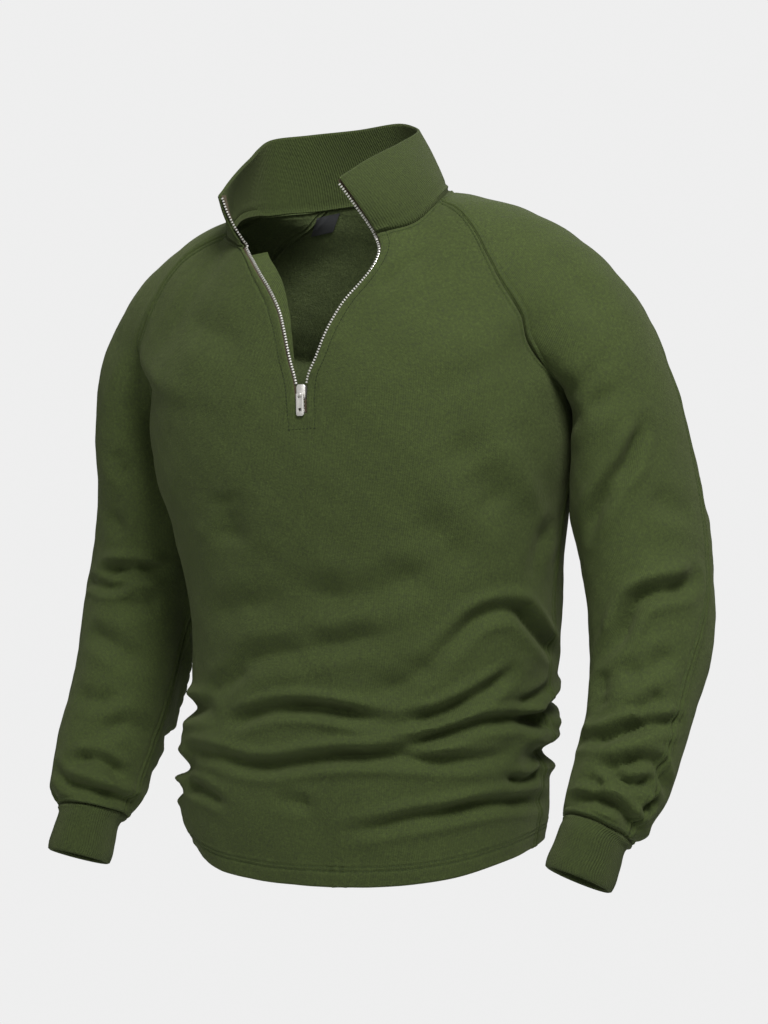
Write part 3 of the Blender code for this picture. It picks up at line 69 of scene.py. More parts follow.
def view_axes():
    """The camera's right, up and ahead."""
    turn = math.radians(VIEW_TURN)
    rise = math.radians(VIEW_RISE)
    roll = math.radians(VIEW_ROLL)
    back = np.array([math.sin(turn) * math.cos(rise), -math.cos(turn) * math.cos(rise), math.sin(rise)])
    right = np.array([math.cos(turn), math.sin(turn), 0.0])
    up = np.cross(back, right)
    return right * math.cos(roll) - up * math.sin(roll), up * math.cos(roll) + right * math.sin(roll), -back


VIEW_RIGHT, VIEW_UP, VIEW_AHEAD = view_axes()
FOCAL_PIXELS = PIXELS_PER_METRE * VIEW_DISTANCE
origin_across = (ORIGIN_PIXEL[0] - VIEW_WIDTH / 2) / FOCAL_PIXELS * VIEW_DISTANCE
origin_up = -(ORIGIN_PIXEL[1] - VIEW_HEIGHT / 2) / FOCAL_PIXELS * VIEW_DISTANCE
VIEW_EYE = -(VIEW_RIGHT * origin_across + VIEW_UP * origin_up + VIEW_AHEAD * VIEW_DISTANCE)


def sight_line(x, y):
    """The direction in which the camera sees a pixel."""
    across = VIEW_RIGHT * ((x - VIEW_WIDTH / 2) / FOCAL_PIXELS)
    return VIEW_AHEAD + across - VIEW_UP * ((y - VIEW_HEIGHT / 2) / FOCAL_PIXELS)


def seen_on(tree, x, y):
    """The point of a surface under a pixel, or None."""
    return tree.ray_cast(Vector(VIEW_EYE), Vector(sight_line(x, y)).normalized())[0]


camera_data = bpy.data.cameras.new("camera")
camera_data.sensor_fit = "VERTICAL"
camera_data.sensor_height = SENSOR
camera_data.lens = FOCAL_PIXELS / VIEW_HEIGHT * SENSOR
camera_data.clip_end = CAMERA_REACH
camera = add_object("camera", camera_data)
camera.matrix_world = Matrix((*zip(VIEW_RIGHT, VIEW_UP, -VIEW_AHEAD, VIEW_EYE), (0, 0, 0, 1)))
bpy.context.scene.camera = camera
bpy.context.scene.view_settings.view_transform = "Standard"


# ---- body and sleeves: how the pieces lie when worn ----
# Front, back and four raglan sleeve pieces are cut from brushed cotton fleece 2.2 mm thick and sewn round
# the body. Sections of the torso and rings along the arms give the form that the cloth follows.
SIDES = {1: "left", -1: "right"}
FLEECE = 0.0022             # thickness of the fleece
HEM_TURN = 0.020            # depth of the turned hem
CREASE_HEIGHT = -0.225      # below this, torso and sleeve only touch
SIDE_HEM_HEIGHT = -0.607    # hem at the side seams
FRONT_HEM_DROP = 0.018      # how much lower the hem hangs at centre front
BACK_HEM_DROP = 0.004
HEM_TILT = 0.008            # the hem hangs lower at the left
NECK_FRONT_HEIGHT = -0.037  # where the neck seam meets the zip
ZIP_END_HEIGHT = -0.197     # foot of the zip opening
SLEEVE_CLEARANCE = 0.0065   # between sleeve and torso below the underarm
CLEARANCE_LENGTH = 0.11     # of the sleeve path below the underarm, over which it grows
SHOULDER_BLEND = 0.055      # how softly torso and sleeve run together at the shoulder
NECK_BLEND = 0.12           # share of that softness left beside the neck
BLEND_RISE = 0.13           # above the crease, over which the softness grows
NECK_REACH = (0.085, 0.165)  # from the yoke's middle, between which the neck's share of it ends
YOKE_MIDDLE_X = 0.010
YOKE_START = 0.25           # share of the yoke path that lies inside the neck opening
YOKE_FRONT_HEIGHT = -0.250  # lowest row of the yoke at centre front
YOKE_BACK_HEIGHT = -0.240
ROW_BEND = 1.6              # how late a row of front or back turns from its middle height to its seam's
INNER_LEAN = 0.6            # how far a ring flattened by the torso moves out as a whole

# Mesh density, in cells.
FRONT_COLUMNS = 11         # each half of the front
BACK_COLUMNS = 18
YOKE_ROWS = 14
TUCK_ROW = 10              # from this row of the yoke the raglan seams turn in under the arm
ZIP_ROWS = 10              # rows of the yoke beside the open zip
TORSO_ROWS = 29
SLEEVE_FRONT_COLUMNS = 10
SLEEVE_BACK_COLUMNS = 9
SLEEVE_ROWS = 27
PATH_STEPS = 72
NECK_STEPS = 60

# Torso sections, top to bottom.
TORSO_COLUMNS = ("height", "half_width", "front", "back", "middle_x", "corner")
TORSO_SECTIONS = (
    (0.040, 0.075, 0.062, 0.050, 0.012, 2.0),
    (0.000, 0.105, 0.082, 0.063, 0.012, 2.1),
    (-0.040, 0.140, 0.104, 0.090, 0.012, 2.2),
    (-0.090, 0.180, 0.122, 0.108, 0.012, 2.3),
    (-0.150, 0.207, 0.136, 0.119, 0.012, 2.4),
    (-0.200, 0.214, 0.141, 0.121, 0.012, 2.4),
    (-0.240, 0.211, 0.142, 0.119, 0.012, 2.4),
    (-0.300, 0.196, 0.138, 0.112, 0.014, 2.4),
    (-0.370, 0.186, 0.130, 0.104, 0.013, 2.4),
    (-0.450, 0.183, 0.128, 0.102, 0.006, 2.4),
    (-0.510, 0.183, 0.134, 0.108, -0.004, 2.4),
    (-0.560, 0.184, 0.138, 0.113, -0.013, 2.4),
    (-0.630, 0.179, 0.134, 0.110, -0.017, 2.4),
)

# Sleeve rings from the neck to the cuff seam, for the wearer's left; x is mirrored for the right.
SLEEVE_COLUMNS = ("x", "y", "z", "half_out", "half_deep", "turn")
YOKE_RING_COUNT = 5        # rings down to the underarm
LEFT_SLEEVE_RINGS = (
    (0.041, 0.004, -0.063, 0.062, 0.078, 0),
    (0.112, 0.010, -0.069, 0.068, 0.082, 0),
    (0.169, 0.018, -0.095, 0.072, 0.080, 0),
    (0.215, 0.025, -0.144, 0.074, 0.079, 0),
    (0.243, 0.030, -0.205, 0.069, 0.078, 0),
    (0.264, 0.033, -0.275, 0.060, 0.076, 10),
    (0.278, 0.029, -0.345, 0.055, 0.072, 15),
    (0.285, 0.010, -0.415, 0.0525, 0.064, 15),
    (0.281, -0.026, -0.485, 0.0465, 0.052, 10),
    (0.270, -0.057, -0.538, 0.0435, 0.046, 5),
    (0.262, -0.072, -0.563, 0.0400, 0.0425, 0),
    (0.256, -0.083, -0.580, 0.0325, 0.0360, 0),
)
RIGHT_SLEEVE_RINGS = (
    (0.031, 0.004, -0.063, 0.062, 0.078, 0),
    (0.101, 0.010, -0.067, 0.067, 0.082, 0),
    (0.161, 0.018, -0.095, 0.072, 0.080, 0),
    (0.207, 0.025, -0.143, 0.073, 0.079, 0),
    (0.231, 0.030, -0.204, 0.063, 0.078, 0),
    (0.246, 0.033, -0.275, 0.060, 0.076, 10),
    (0.262, 0.030, -0.345, 0.059, 0.073, 20),
    (0.274, 0.014, -0.415, 0.058, 0.069, 20),
    (0.280, -0.016, -0.485, 0.053, 0.060, 15),
    (0.287, -0.043, -0.536, 0.050, 0.052, 10),
    (0.289, -0.056, -0.562, 0.047, 0.048, 0),
    (0.289, -0.065, -0.580, 0.0350, 0.0380, 0),
)

# Raglan and elbow seams, as angles round the sleeve: 0 on top and outside, +90 in front.
SEAM_COLUMNS = ("share", "front", "elbow", "back")
SEAM_ANGLES = (
    (0.00, 46, -14, -52),
    (0.20, 52, -18, -58),
    (0.35, 64, -22, -68),
    (0.50, 79, -26, -80),
    (0.70, 91, -28, -94),
    (0.85, 106, -24, -110),
    (0.93, 124, -20, -128),
    (1.00, 180, -14, -180),
)
ELBOW_COLUMNS = ("share", "angle")
ELBOW_ANGLES = (
    (0.00, -14),
    (0.20, -11),
    (0.45, 3),
    (0.62, 20),
    (0.80, 28),
    (1.00, 26),
)

# Neck seam, from the left front edge round the back to the right front edge: x, y and z.
NECK_SEAM = (
    (0.088, -0.095, -0.037),
    (0.112, -0.074, -0.031),
    (0.122, -0.040, -0.018),
    (0.114, 0.008, 0.002),
    (0.074, 0.045, 0.006),
    (0.010, 0.058, 0.006),
    (-0.054, 0.050, 0.006),
    (-0.086, 0.020, 0.004),
    (-0.092, -0.022, -0.008),
    (-0.082, -0.064, -0.026),
    (-0.056, -0.094, -0.037),
)
# Shares of the neck seam at which the front and the back raglan seam start, on each side.
RAGLANS = {1: (0.16, 0.40), -1: (0.90, 0.60)}

# Edges of the open zip, by height.
ZIP_COLUMNS = ("height", "left_x", "right_x")
ZIP_EDGES = (
    (-0.037, 0.089, -0.057),
    (-0.049, 0.092, -0.044),
    (-0.067, 0.089, -0.029),
    (-0.084, 0.078, -0.016),
    (-0.103, 0.061, -0.005),
    (-0.125, 0.049, 0.002),
    (-0.150, 0.0385, 0.0075),
    (-0.1705, 0.0295, 0.0135),
    (-0.185, 0.0280, 0.0150),
    (-0.197, 0.0278, 0.0152),
)


def column(table, columns, name):
    return np.array([row[columns.index(name)] for row in table], float)


def cubic(part, start, end, leave, arrive):
    """A smooth way from start to end, with the slopes on which it leaves and arrives."""
    return (
        start * (1 + 2 * part) * (1 - part) ** 2
        + end * part ** 2 * (3 - 2 * part)
        + leave * part * (1 - part) ** 2
        + arrive * part ** 2 * (part - 1)
    )


def smooth_read(at, places, values):
    """Reads values between their places, on a curve with no overshoot."""
    if places[0] > places[-1]:
        places, values = places[::-1], values[::-1]
    step = np.diff(places)
    slope = np.diff(values) / step
    agree = slope[1:] * slope[:-1] > 0
    blend = 2 * slope[1:] * slope[:-1] / np.where(agree, slope[1:] + slope[:-1], 1)
    tangent = np.concatenate([slope[:1], np.where(agree, blend, 0), slope[-1:]])
    at = np.clip(at, places[0], places[-1])
    span = np.clip(np.searchsorted(places, at, side="right") - 1, 0, len(step) - 1)
    part = (at - places[span]) / step[span]
    return cubic(part, values[span], values[span + 1], tangent[span] * step[span], tangent[span + 1] * step[span])


def read_table(table, columns, name, at):
    """Reads a named column of a table at any place in its first column."""
    return smooth_read(at, column(table, columns, columns[0]), column(table, columns, name))


def smooth_step(value, low, high):
    part = np.clip((value - low) / (high - low), 0, 1)
    return part * part * (3 - 2 * part)


def unit(vectors):
    return vectors / np.maximum(np.linalg.norm(vectors, axis=-1, keepdims=True), 1e-12)


def dot(first, second):
    return np.einsum("ni,ni->n", first, second)


def run_length(points, axis=0):
    """How far each point lies from the first one of its run, along it."""
    lengths = np.cumsum(np.linalg.norm(np.diff(points, axis=axis), axis=-1), axis=axis)
    return np.concatenate([np.zeros_like(lengths.take([0], axis)), lengths], axis)


def read_points(at, places, points):
    return np.stack([np.interp(at, places, points[:, axis]) for axis in range(3)], -1)


def curve_points(points, shares):
    """Points at shares of the length of a smooth curve through the given ones."""
    points = np.asarray(points, float)
    knots = run_length(points)
    tangents = np.gradient(points, knots, axis=0)
    fine = []
    for place in np.linspace(0, knots[-1], 12 * len(points)):
        span = min(int(np.searchsorted(knots, place, side="right")) - 1, len(points) - 2)
        step = knots[span + 1] - knots[span]
        part = (place - knots[span]) / step
        fine.append(cubic(part, points[span], points[span + 1], tangents[span] * step, tangents[span + 1] * step))
    lengths = run_length(np.array(fine))
    return read_points(shares, lengths / lengths[-1], np.array(fine))


def torso_size(height, name):
    return read_table(TORSO_SECTIONS, TORSO_COLUMNS, name, height)


def torso_point(angle, height):
    """A point on the torso: angle 0 is the left side seam, -90 centre front, 90 centre back."""
    radians = np.radians(angle)
    across = np.cos(radians)
    along = np.sin(radians)
    power = 2 / torso_size(height, "corner")
    depth = np.where(along < 0, torso_size(height, "front"), torso_size(height, "back"))
    half_width = torso_size(height, "half_width")
    x = torso_size(height, "middle_x") + half_width * np.sign(across) * np.abs(across) ** power
    y = depth * np.sign(along) * np.abs(along) ** power
    return np.stack([x, y, height + 0 * angle], -1)


def outside(reach, distance):
    """About how far outside a form a point lies: its reach is 1 on the form, and less within."""
    return (reach - 1) * distance / np.maximum(reach, 0.05)


def torso_field(points):
    """About the distance outside the torso, negative within it."""
    height = points[:, 2]
    corner = torso_size(height, "corner")
    off_middle = points[:, 0] - torso_size(height, "middle_x")
    depth = np.where(points[:, 1] < 0, torso_size(height, "front"), torso_size(height, "back"))
    across = np.abs(off_middle) / torso_size(height, "half_width")
    along = np.abs(points[:, 1]) / depth
    return outside((across ** corner + along ** corner) ** (1 / corner), np.hypot(off_middle, points[:, 1]))


class Sleeve:
    """Rings along the path of one sleeve."""

    def __init__(self, side, rings):
        centres = np.array([[side * row[0], row[1], row[2]] for row in rings])
        lengths = run_length(centres)
        self.length = lengths[-1]
        self.yoke_share = lengths[YOKE_RING_COUNT - 1] / self.length
        self.ring_shares = lengths / self.length
        self.path_shares = np.linspace(0, 1, PATH_STEPS)
        self.path = curve_points(centres, self.path_shares)
        self.along = unit(np.gradient(self.path, axis=0))
        ahead = np.array([0.0, -1.0, 0.0])
        self.front = unit(ahead - self.along * (self.along @ ahead)[:, None])
        self.out = side * np.cross(self.front, self.along)
        self.half_out = self.read("half_out", rings)
        self.half_deep = self.read("half_deep", rings)
        self.turn = np.radians(self.read("turn", rings))
        self.half_in = self.half_out.copy()
        self.lean = 0 * self.half_out
        self.flatten()

    def flatten(self):
        """Draws the inner side of the rings out of the torso, a little at a time down to the underarm."""
        start = self.yoke_share * TUCK_ROW / YOKE_ROWS
        around = np.arange(100.0, 261.0, 4.0)
        low = np.full(PATH_STEPS, 0.0)
        high = self.half_out.copy()
        full = self.half_out
        past = (self.path_shares - self.yoke_share) * self.length
        clearance = SLEEVE_CLEARANCE * smooth_step(past, 0, CLEARANCE_LENGTH)
        for _ in range(16):
            self.half_in = (low + high) / 2
            self.lean = INNER_LEAN * (full - self.half_in) / 2
            ring = self.point(self.path_shares[:, None], around[None, :])
            gap = torso_field(ring.reshape(-1, 3)).reshape(len(full), -1).min(axis=1)
            low = np.where(gap >= clearance, self.half_in, low)
            high = np.where(gap >= clearance, high, self.half_in)
        touch = np.minimum(low, full)
        part = np.clip((self.path_shares - start) / (self.yoke_share - start), 0, 1)
        above = touch + (full - touch) * (1 - part) ** 2
        self.half_in = np.where(self.path_shares < self.yoke_share, above, touch)
        self.lean = INNER_LEAN * (full - self.half_in) / 2

    def read(self, name, rings):
        return smooth_read(self.path_shares, self.ring_shares, column(rings, SLEEVE_COLUMNS, name))

    def at(self, share, values):
        if values.ndim == 1:
            return np.interp(share, self.path_shares, values)
        return read_points(share, self.path_shares, values)

    def point(self, share, angle):
        """A point on the ring at this share of the path, at an angle round it."""
        share = np.asarray(share, float)
        angle = np.radians(np.asarray(angle, float)) + 0 * share
        share = share + 0 * angle
        turn = self.at(share, self.turn)
        lean = self.at(share, self.lean)
        across = np.cos(angle - turn)
        out_part = np.where(across > 0, self.at(share, self.half_out) - lean, self.at(share, self.half_in) + lean)
        out_part = out_part * across + lean
        deep_part = self.at(share, self.half_deep) * np.sin(angle - turn)
        out_amount = out_part * np.cos(turn) - deep_part * np.sin(turn)
        deep_amount = out_part * np.sin(turn) + deep_part * np.cos(turn)
        out = self.at(share, self.out)
        front = self.at(share, self.front)
        return self.at(share, self.path) + out * out_amount[..., None] + front * deep_amount[..., None]

    def field(self, points):
        """About the distance outside this sleeve, negative within it."""
        gap = points[:, None, :] - self.path[None]
        nearest = np.argmin(np.einsum("nij,nij->ni", gap, gap), axis=1)
        gap = points - self.path[nearest]
        turn = self.turn[nearest]
        out_amount = dot(gap, self.out[nearest])
        deep_amount = dot(gap, self.front[nearest])
        past_end = dot(gap, self.along[nearest])
        lean = self.lean[nearest]
        out_part = out_amount * np.cos(turn) + deep_amount * np.sin(turn) - lean
        deep_part = deep_amount * np.cos(turn) - out_amount * np.sin(turn)
        half_out = np.where(out_part > 0, self.half_out[nearest] - lean, self.half_in[nearest] + lean)
        half_deep = self.half_deep[nearest]
        reach = np.sqrt((out_part / half_out) ** 2 + (deep_part / half_deep) ** 2 + (past_end / half_deep) ** 2)
        return outside(reach, np.linalg.norm(gap, axis=1))


SLEEVES = {1: Sleeve(1, LEFT_SLEEVE_RINGS), -1: Sleeve(-1, RIGHT_SLEEVE_RINGS)}


def garment_field(points):
    """Torso and sleeves run together: in a crease at the underarm, softly at the shoulder, tightly at the neck."""
    value = torso_field(points)
    lift = smooth_step(points[:, 2], CREASE_HEIGHT, CREASE_HEIGHT + BLEND_RISE)
    aside = smooth_step(np.abs(points[:, 0] - YOKE_MIDDLE_X), *NECK_REACH)
    width = SHOULDER_BLEND * lift * (NECK_BLEND + (1 - NECK_BLEND) * aside) + 1e-5
    for sleeve in SLEEVES.values():
        other = sleeve.field(points)
        share = np.maximum(width - np.abs(value - other), 0) / width
        value = np.minimum(value, other) - share * share * width / 4
    return value


def settle(points, rounds=8, apart=0.0004, longest=0.012):
    """Moves points onto the garment's form along its steepest slope, a limited way in each round."""
    shape = points.shape
    points = points.reshape(-1, 3).copy()
    for _ in range(rounds):
        slope = np.stack([
            (garment_field(points + apart * axis) - garment_field(points - apart * axis)) / (2 * apart)
            for axis in np.eye(3)
        ], -1)
        scale = np.maximum(dot(slope, slope), 0.2)
        move = -slope * (garment_field(points) / scale)[:, None]
        length = np.linalg.norm(move, axis=1, keepdims=True)
        points += move * np.minimum(1, longest / np.maximum(length, 1e-9))
    return points.reshape(shape)


NECK_LINE = settle(curve_points(NECK_SEAM, np.linspace(0, 1, NECK_STEPS)))


def neck_points(shares):
    lengths = run_length(NECK_LINE)
    return read_points(shares, lengths / lengths[-1], NECK_LINE)


def inmost_angle(sleeve, share):
    """The angle at which a sleeve ring comes nearest to the torso, or lies deepest in it."""
    angles = np.arange(120.0, 240.5, 1.0)
    return float(angles[np.argmin(torso_field(sleeve.point(share, angles)))])


def crease_angle(sleeve, share, sign):
    """The angle at which a sleeve ring enters the torso, in front for sign 1 and behind for -1."""
    inmost = inmost_angle(sleeve, share)
    low = 60.0
    high = inmost if sign > 0 else 360 - inmost
    for _ in range(24):
        middle = (low + high) / 2
        if torso_field(sleeve.point(share, sign * middle)[None])[0] > 0:
            low = middle
        else:
            high = middle
    return sign * low


def seam_angle(name, share):
    return read_table(SEAM_ANGLES, SEAM_COLUMNS, name, share)


def settled_row(line, row):
    """A row moved onto the form. Towards the underarm it keeps to the ring or torso that it came from."""
    own = float(smooth_step(row, TUCK_ROW - 4, TUCK_ROW + 1))
    return settle(line) * (1 - own) + line * own if own < 1 else line


def sleeve_grid(side):
    """Rows from the neck seam to the cuff seam, columns from the front seam over the top to the back seam."""
    sleeve = SLEEVES[side]
    front_columns = np.linspace(0, 1, SLEEVE_FRONT_COLUMNS + 1)
    back_columns = np.linspace(0, 1, SLEEVE_BACK_COLUMNS + 1)[1:]
    count = len(front_columns) + len(back_columns)

    def ring(share, first, elbow, last):
        angles = [first + (elbow - first) * front_columns, elbow + (last - elbow) * back_columns]
        return sleeve.point(np.full(count, share), np.concatenate(angles))

    neck = neck_points(np.linspace(*RAGLANS[side], count))
    rows = [neck]
    inmost = inmost_angle(sleeve, sleeve.yoke_share)
    for row in range(1, YOKE_ROWS + 1):
        down = row / YOKE_ROWS
        share = sleeve.yoke_share * (down + YOKE_START * (1 - smooth_step(down, 0, 0.55)))
        front = crease_angle(sleeve, share, 1)
        back = crease_angle(sleeve, share, -1)
        if row < TUCK_ROW:
            front = min(seam_angle("front", down), front)
            back = max(seam_angle("back", down), back)
        if row == YOKE_ROWS:
            front, back = inmost, inmost - 360
        part = smooth_step(down, 0, 0.5)
        line = neck * (1 - part) + ring(share, front, seam_angle("elbow", down), back) * part
        rows.append(settled_row(line, row))
    for row in range(1, SLEEVE_ROWS + 1):
        down = 1.3 * row / SLEEVE_ROWS - 0.3 * (row / SLEEVE_ROWS) ** 2
        share = sleeve.yoke_share + (1 - sleeve.yoke_share) * down
        elbow = read_table(ELBOW_ANGLES, ELBOW_COLUMNS, "angle", down)
        first = inmost + (180 - inmost) * float(smooth_step(down, 0, 0.35))
        rows.append(ring(share, first, elbow, first - 360))
    grid = np.array(rows)
    grid[YOKE_ROWS:, -1] = grid[YOKE_ROWS:, 0]
    return grid


def angle_on_torso(point):
    """The torso angle of a point, front half negative."""
    height = point[2]
    power = torso_size(height, "corner") / 2
    across = (point[0] - torso_size(height, "middle_x")) / torso_size(height, "half_width")
    along = point[1] / torso_size(height, "front" if point[1] < 0 else "back")
    across = np.sign(across) * np.abs(across) ** power
    along = np.sign(along) * np.abs(along) ** power
    return math.degrees(math.atan2(along, across))


def hem_height(angle):
    drop = np.where(np.sin(np.radians(angle)) < 0, FRONT_HEM_DROP, BACK_HEM_DROP)
    return SIDE_HEM_HEIGHT - drop * np.sin(np.radians(angle)) ** 2 - HEM_TILT * np.cos(np.radians(angle))


def pull_ends(line, columns, start, end):
    """Shifts a row so that its two ends come to start and end."""
    return line + np.outer(1 - columns, start - line[0]) + np.outer(columns, end - line[-1])


def row_on_torso(start, end, start_height, columns):
    """Points from a panel's middle edge to its seam: start and end are points on the two edges."""
    start_angle = angle_on_torso(start)
    end_angle = angle_on_torso(end)
    if end_angle > 90:
        end_angle -= 360
    angles = start_angle + (end_angle - start_angle) * columns
    heights = start_height + (end[2] - start_height) * columns ** ROW_BEND
    return pull_ends(torso_point(angles, heights), columns, start, end)


def side_seam(underarm, side, row):
    """The angle and the upper height of the side seam, which starts at the underarm."""
    middle = 0.0 if side > 0 else 180.0
    start = angle_on_torso(underarm)
    if side < 0 and start < 0:
        start += 360
    angle = start + (middle - start) * float(smooth_step(row, 0, 9))
    return angle, float(underarm[2])


def zip_edge(height, side):
    return read_table(ZIP_EDGES, ZIP_COLUMNS, f"{SIDES[side]}_x", height)


def point_at(x, height):
    """The point on the torso's front at a place across and a height."""
    across = (x - torso_size(height, "middle_x")) / torso_size(height, "half_width")
    corner = torso_size(height, "corner")
    y = -torso_size(height, "front") * (1 - abs(across) ** corner) ** (1 / corner)
    return np.array([x, y, height])


def torso_row(angles, top_heights, row):
    """A row between the yoke and the hem. Rows stand closer together towards the hem, where the folds are."""
    share = float(np.interp(row / TORSO_ROWS, (0, 0.20, 0.86, 1), (0, 0.32, 0.875, 1)))
    return torso_point(angles, top_heights + (hem_height(angles) - top_heights) * share)


def front_grid(seams):
    """Both halves of the front. Columns run from the zip edge or middle to the raglan or side seam."""
    columns = np.linspace(0, 1, FRONT_COLUMNS + 1)
    heights = np.interp(
        range(YOKE_ROWS + 1), (0, ZIP_ROWS, YOKE_ROWS), (NECK_FRONT_HEIGHT, ZIP_END_HEIGHT, YOKE_FRONT_HEIGHT)
    )
    halves = {}
    for side, seam in seams.items():
        top = neck_points(np.linspace(0 if side > 0 else 1, RAGLANS[side][0], FRONT_COLUMNS + 1))
        rows = [top]
        for row in range(1, YOKE_ROWS + 1):
            start = point_at(zip_edge(heights[row], side), heights[row])
            line = row_on_torso(start, seam[row], heights[row], columns)
            ease = smooth_step(row / YOKE_ROWS, 0, 0.3)
            line = line * ease + (top + line[0] - top[0]) * (1 - ease)
            line = settled_row(pull_ends(line, columns, start, seam[row]), row)
            line[-1] = seam[row]
            rows.append(line)
        for row in range(1, TORSO_ROWS + 1):
            middle = torso_row(np.array(-90.0), YOKE_FRONT_HEIGHT, row)
            start_angle = angle_on_torso(point_at(zip_edge(middle[2], side), middle[2]))
            side_angle, top_height = side_seam(seam[YOKE_ROWS], side, row)
            if side < 0:
                side_angle -= 360
            angles = start_angle + (side_angle - start_angle) * columns
            top_heights = YOKE_FRONT_HEIGHT + (top_height - YOKE_FRONT_HEIGHT) * columns ** ROW_BEND
            rows.append(torso_row(angles, top_heights, row))
        halves[side] = np.array(rows)
    return halves


def back_grid(seams):
    """The back. Columns run from the left raglan or side seam to the right one."""
    columns = np.linspace(0, 1, BACK_COLUMNS + 1)
    from_middle = np.abs(2 * columns - 1) ** ROW_BEND
    top = neck_points(np.linspace(RAGLANS[1][1], RAGLANS[-1][1], BACK_COLUMNS + 1))
    top_height = top[BACK_COLUMNS // 2][2]
    rows = [top]
    for row in range(1, YOKE_ROWS + 1):
        down = row / YOKE_ROWS
        left, right = seams[1][row], seams[-1][row]
        height = top_height + (YOKE_BACK_HEIGHT - top_height) * down
        left_angle = angle_on_torso(left)
        angles = left_angle + (angle_on_torso(right) % 360 - left_angle) * columns
        ends = left[2] + (right[2] - left[2]) * columns
        line = torso_point(angles, height + (ends - height) * from_middle)
        ease = smooth_step(down, 0, 0.3)
        shifted = top + np.array([0, 0.02, -1]) * (top_height - height)
        line = pull_ends(line, columns, left, right) * ease + shifted * (1 - ease)
        line = settled_row(pull_ends(line, columns, left, right), row)
        line[0], line[-1] = left, right
        rows.append(line)
    for row in range(1, TORSO_ROWS + 1):
        left_angle, left_top = side_seam(seams[1][YOKE_ROWS], 1, row)
        right_angle, right_top = side_seam(seams[-1][YOKE_ROWS], -1, row)
        ends = left_top + (right_top - left_top) * columns
        top_heights = YOKE_BACK_HEIGHT + (ends - YOKE_BACK_HEIGHT) * from_middle
        rows.append(torso_row(left_angle + (right_angle - left_angle) * columns, top_heights, row))
    return np.array(rows)


def torso_thickness(points):
    """The fleece, doubled where the hem is turned up."""
    angles = np.degrees(np.arctan2(points[:, 1], points[:, 0] - torso_size(points[:, 2], "middle_x")))
    turned = points[:, 2] < hem_height(angles) + HEM_TURN
    return np.where(turned, 2 * FLEECE, FLEECE)


# ---- cutting the cloth finer ----
# Each panel is a grid of points on the form. It is cut finer along smooth curves that pass through those
# points, and the columns stand closest beside a seam, where the fleece is drawn in by its stitching.
SEAM_PLACES = (0.0, 0.05, 0.11, 0.18, 0.26, 0.33, 0.40, 0.48, 0.58, 0.70, 0.84)
COLUMN_PLACES = (0.0, 0.25, 0.5, 0.75)
ROW_PLACES = (0.0, 0.2, 0.4, 0.6, 0.8)
HEM_PLACES = (0.0, 0.1, 0.2, 0.3, 0.4, 0.5, 0.6, 0.7, 0.8, 0.9)
ZIP_SIDE_PLACES = (0.0, 0.05, 0.14, 0.25, 0.34, 0.39, 0.44, 0.49, 0.54, 0.64, 0.78, 0.9)
SEAM_OPEN = 0.00008         # between two sewn edges
SEAM_DIPS = (               # depth, distance from the seam, and width
    (0.0017, 0.0, 0.0013),  # the groove on the seam
    (-0.0008, 0.0032, 0.0016),  # the fleece that swells beside it
    (0.0007, 0.0060, 0.0012),  # the dip under its topstitching
)
EDGE_ROUNDING = 0.45        # of the wall's thickness, how far a free edge's rim is rounded


def smooth_run(points, places, corner=None, stiffness=0.0):
    """Points at places along smooth curves through rows of points, which may turn sharply at one corner row."""
    step = np.diff(points, axis=0)
    length = np.maximum(np.linalg.norm(step, axis=-1, keepdims=True), 1e-6)
    slope = step / length
    before = length[:-1]
    after = length[1:]
    middle = (slope[:-1] * after + slope[1:] * before) / (before + after)
    tangent = np.concatenate([slope[:1], middle, slope[-1:]])
    enter = tangent.copy()
    leave = tangent.copy()
    if corner is not None:
        enter[corner] = tangent[corner] * (1 - stiffness) + slope[corner - 1] * stiffness
        leave[corner] = tangent[corner] * (1 - stiffness) + slope[corner] * stiffness
    span = np.minimum(places.astype(int), len(points) - 2)
    part = (places - span)[:, None, None]
    leave = leave[span] * length[span]
    return cubic(part, points[span], points[span + 1], leave, enter[span + 1] * length[span])


def finer(grid, row_places, column_places, sharp_columns=()):
    """A grid cut finer both ways. Beside the sharp columns the rows turn a corner at the underarm."""
    stiffness = np.zeros((grid.shape[1], 1))
    for number in sharp_columns:
        stiffness[number] = 1.0
        stiffness[number + (1 if number == 0 else -1)] = 0.5
    corner = YOKE_ROWS if len(sharp_columns) else None
    rows = smooth_run(grid, row_places, corner, stiffness)
    return smooth_run(rows.transpose(1, 0, 2), column_places).transpose(1, 0, 2)


def quads(index, flip):
    """The faces of a grid of point numbers."""
    corners = (index[:-1, :-1], index[:-1, 1:], index[1:, 1:], index[1:, :-1])
    faces = np.stack([corner.ravel() for corner in corners], -1)
    return faces[:, ::-1] if flip else faces


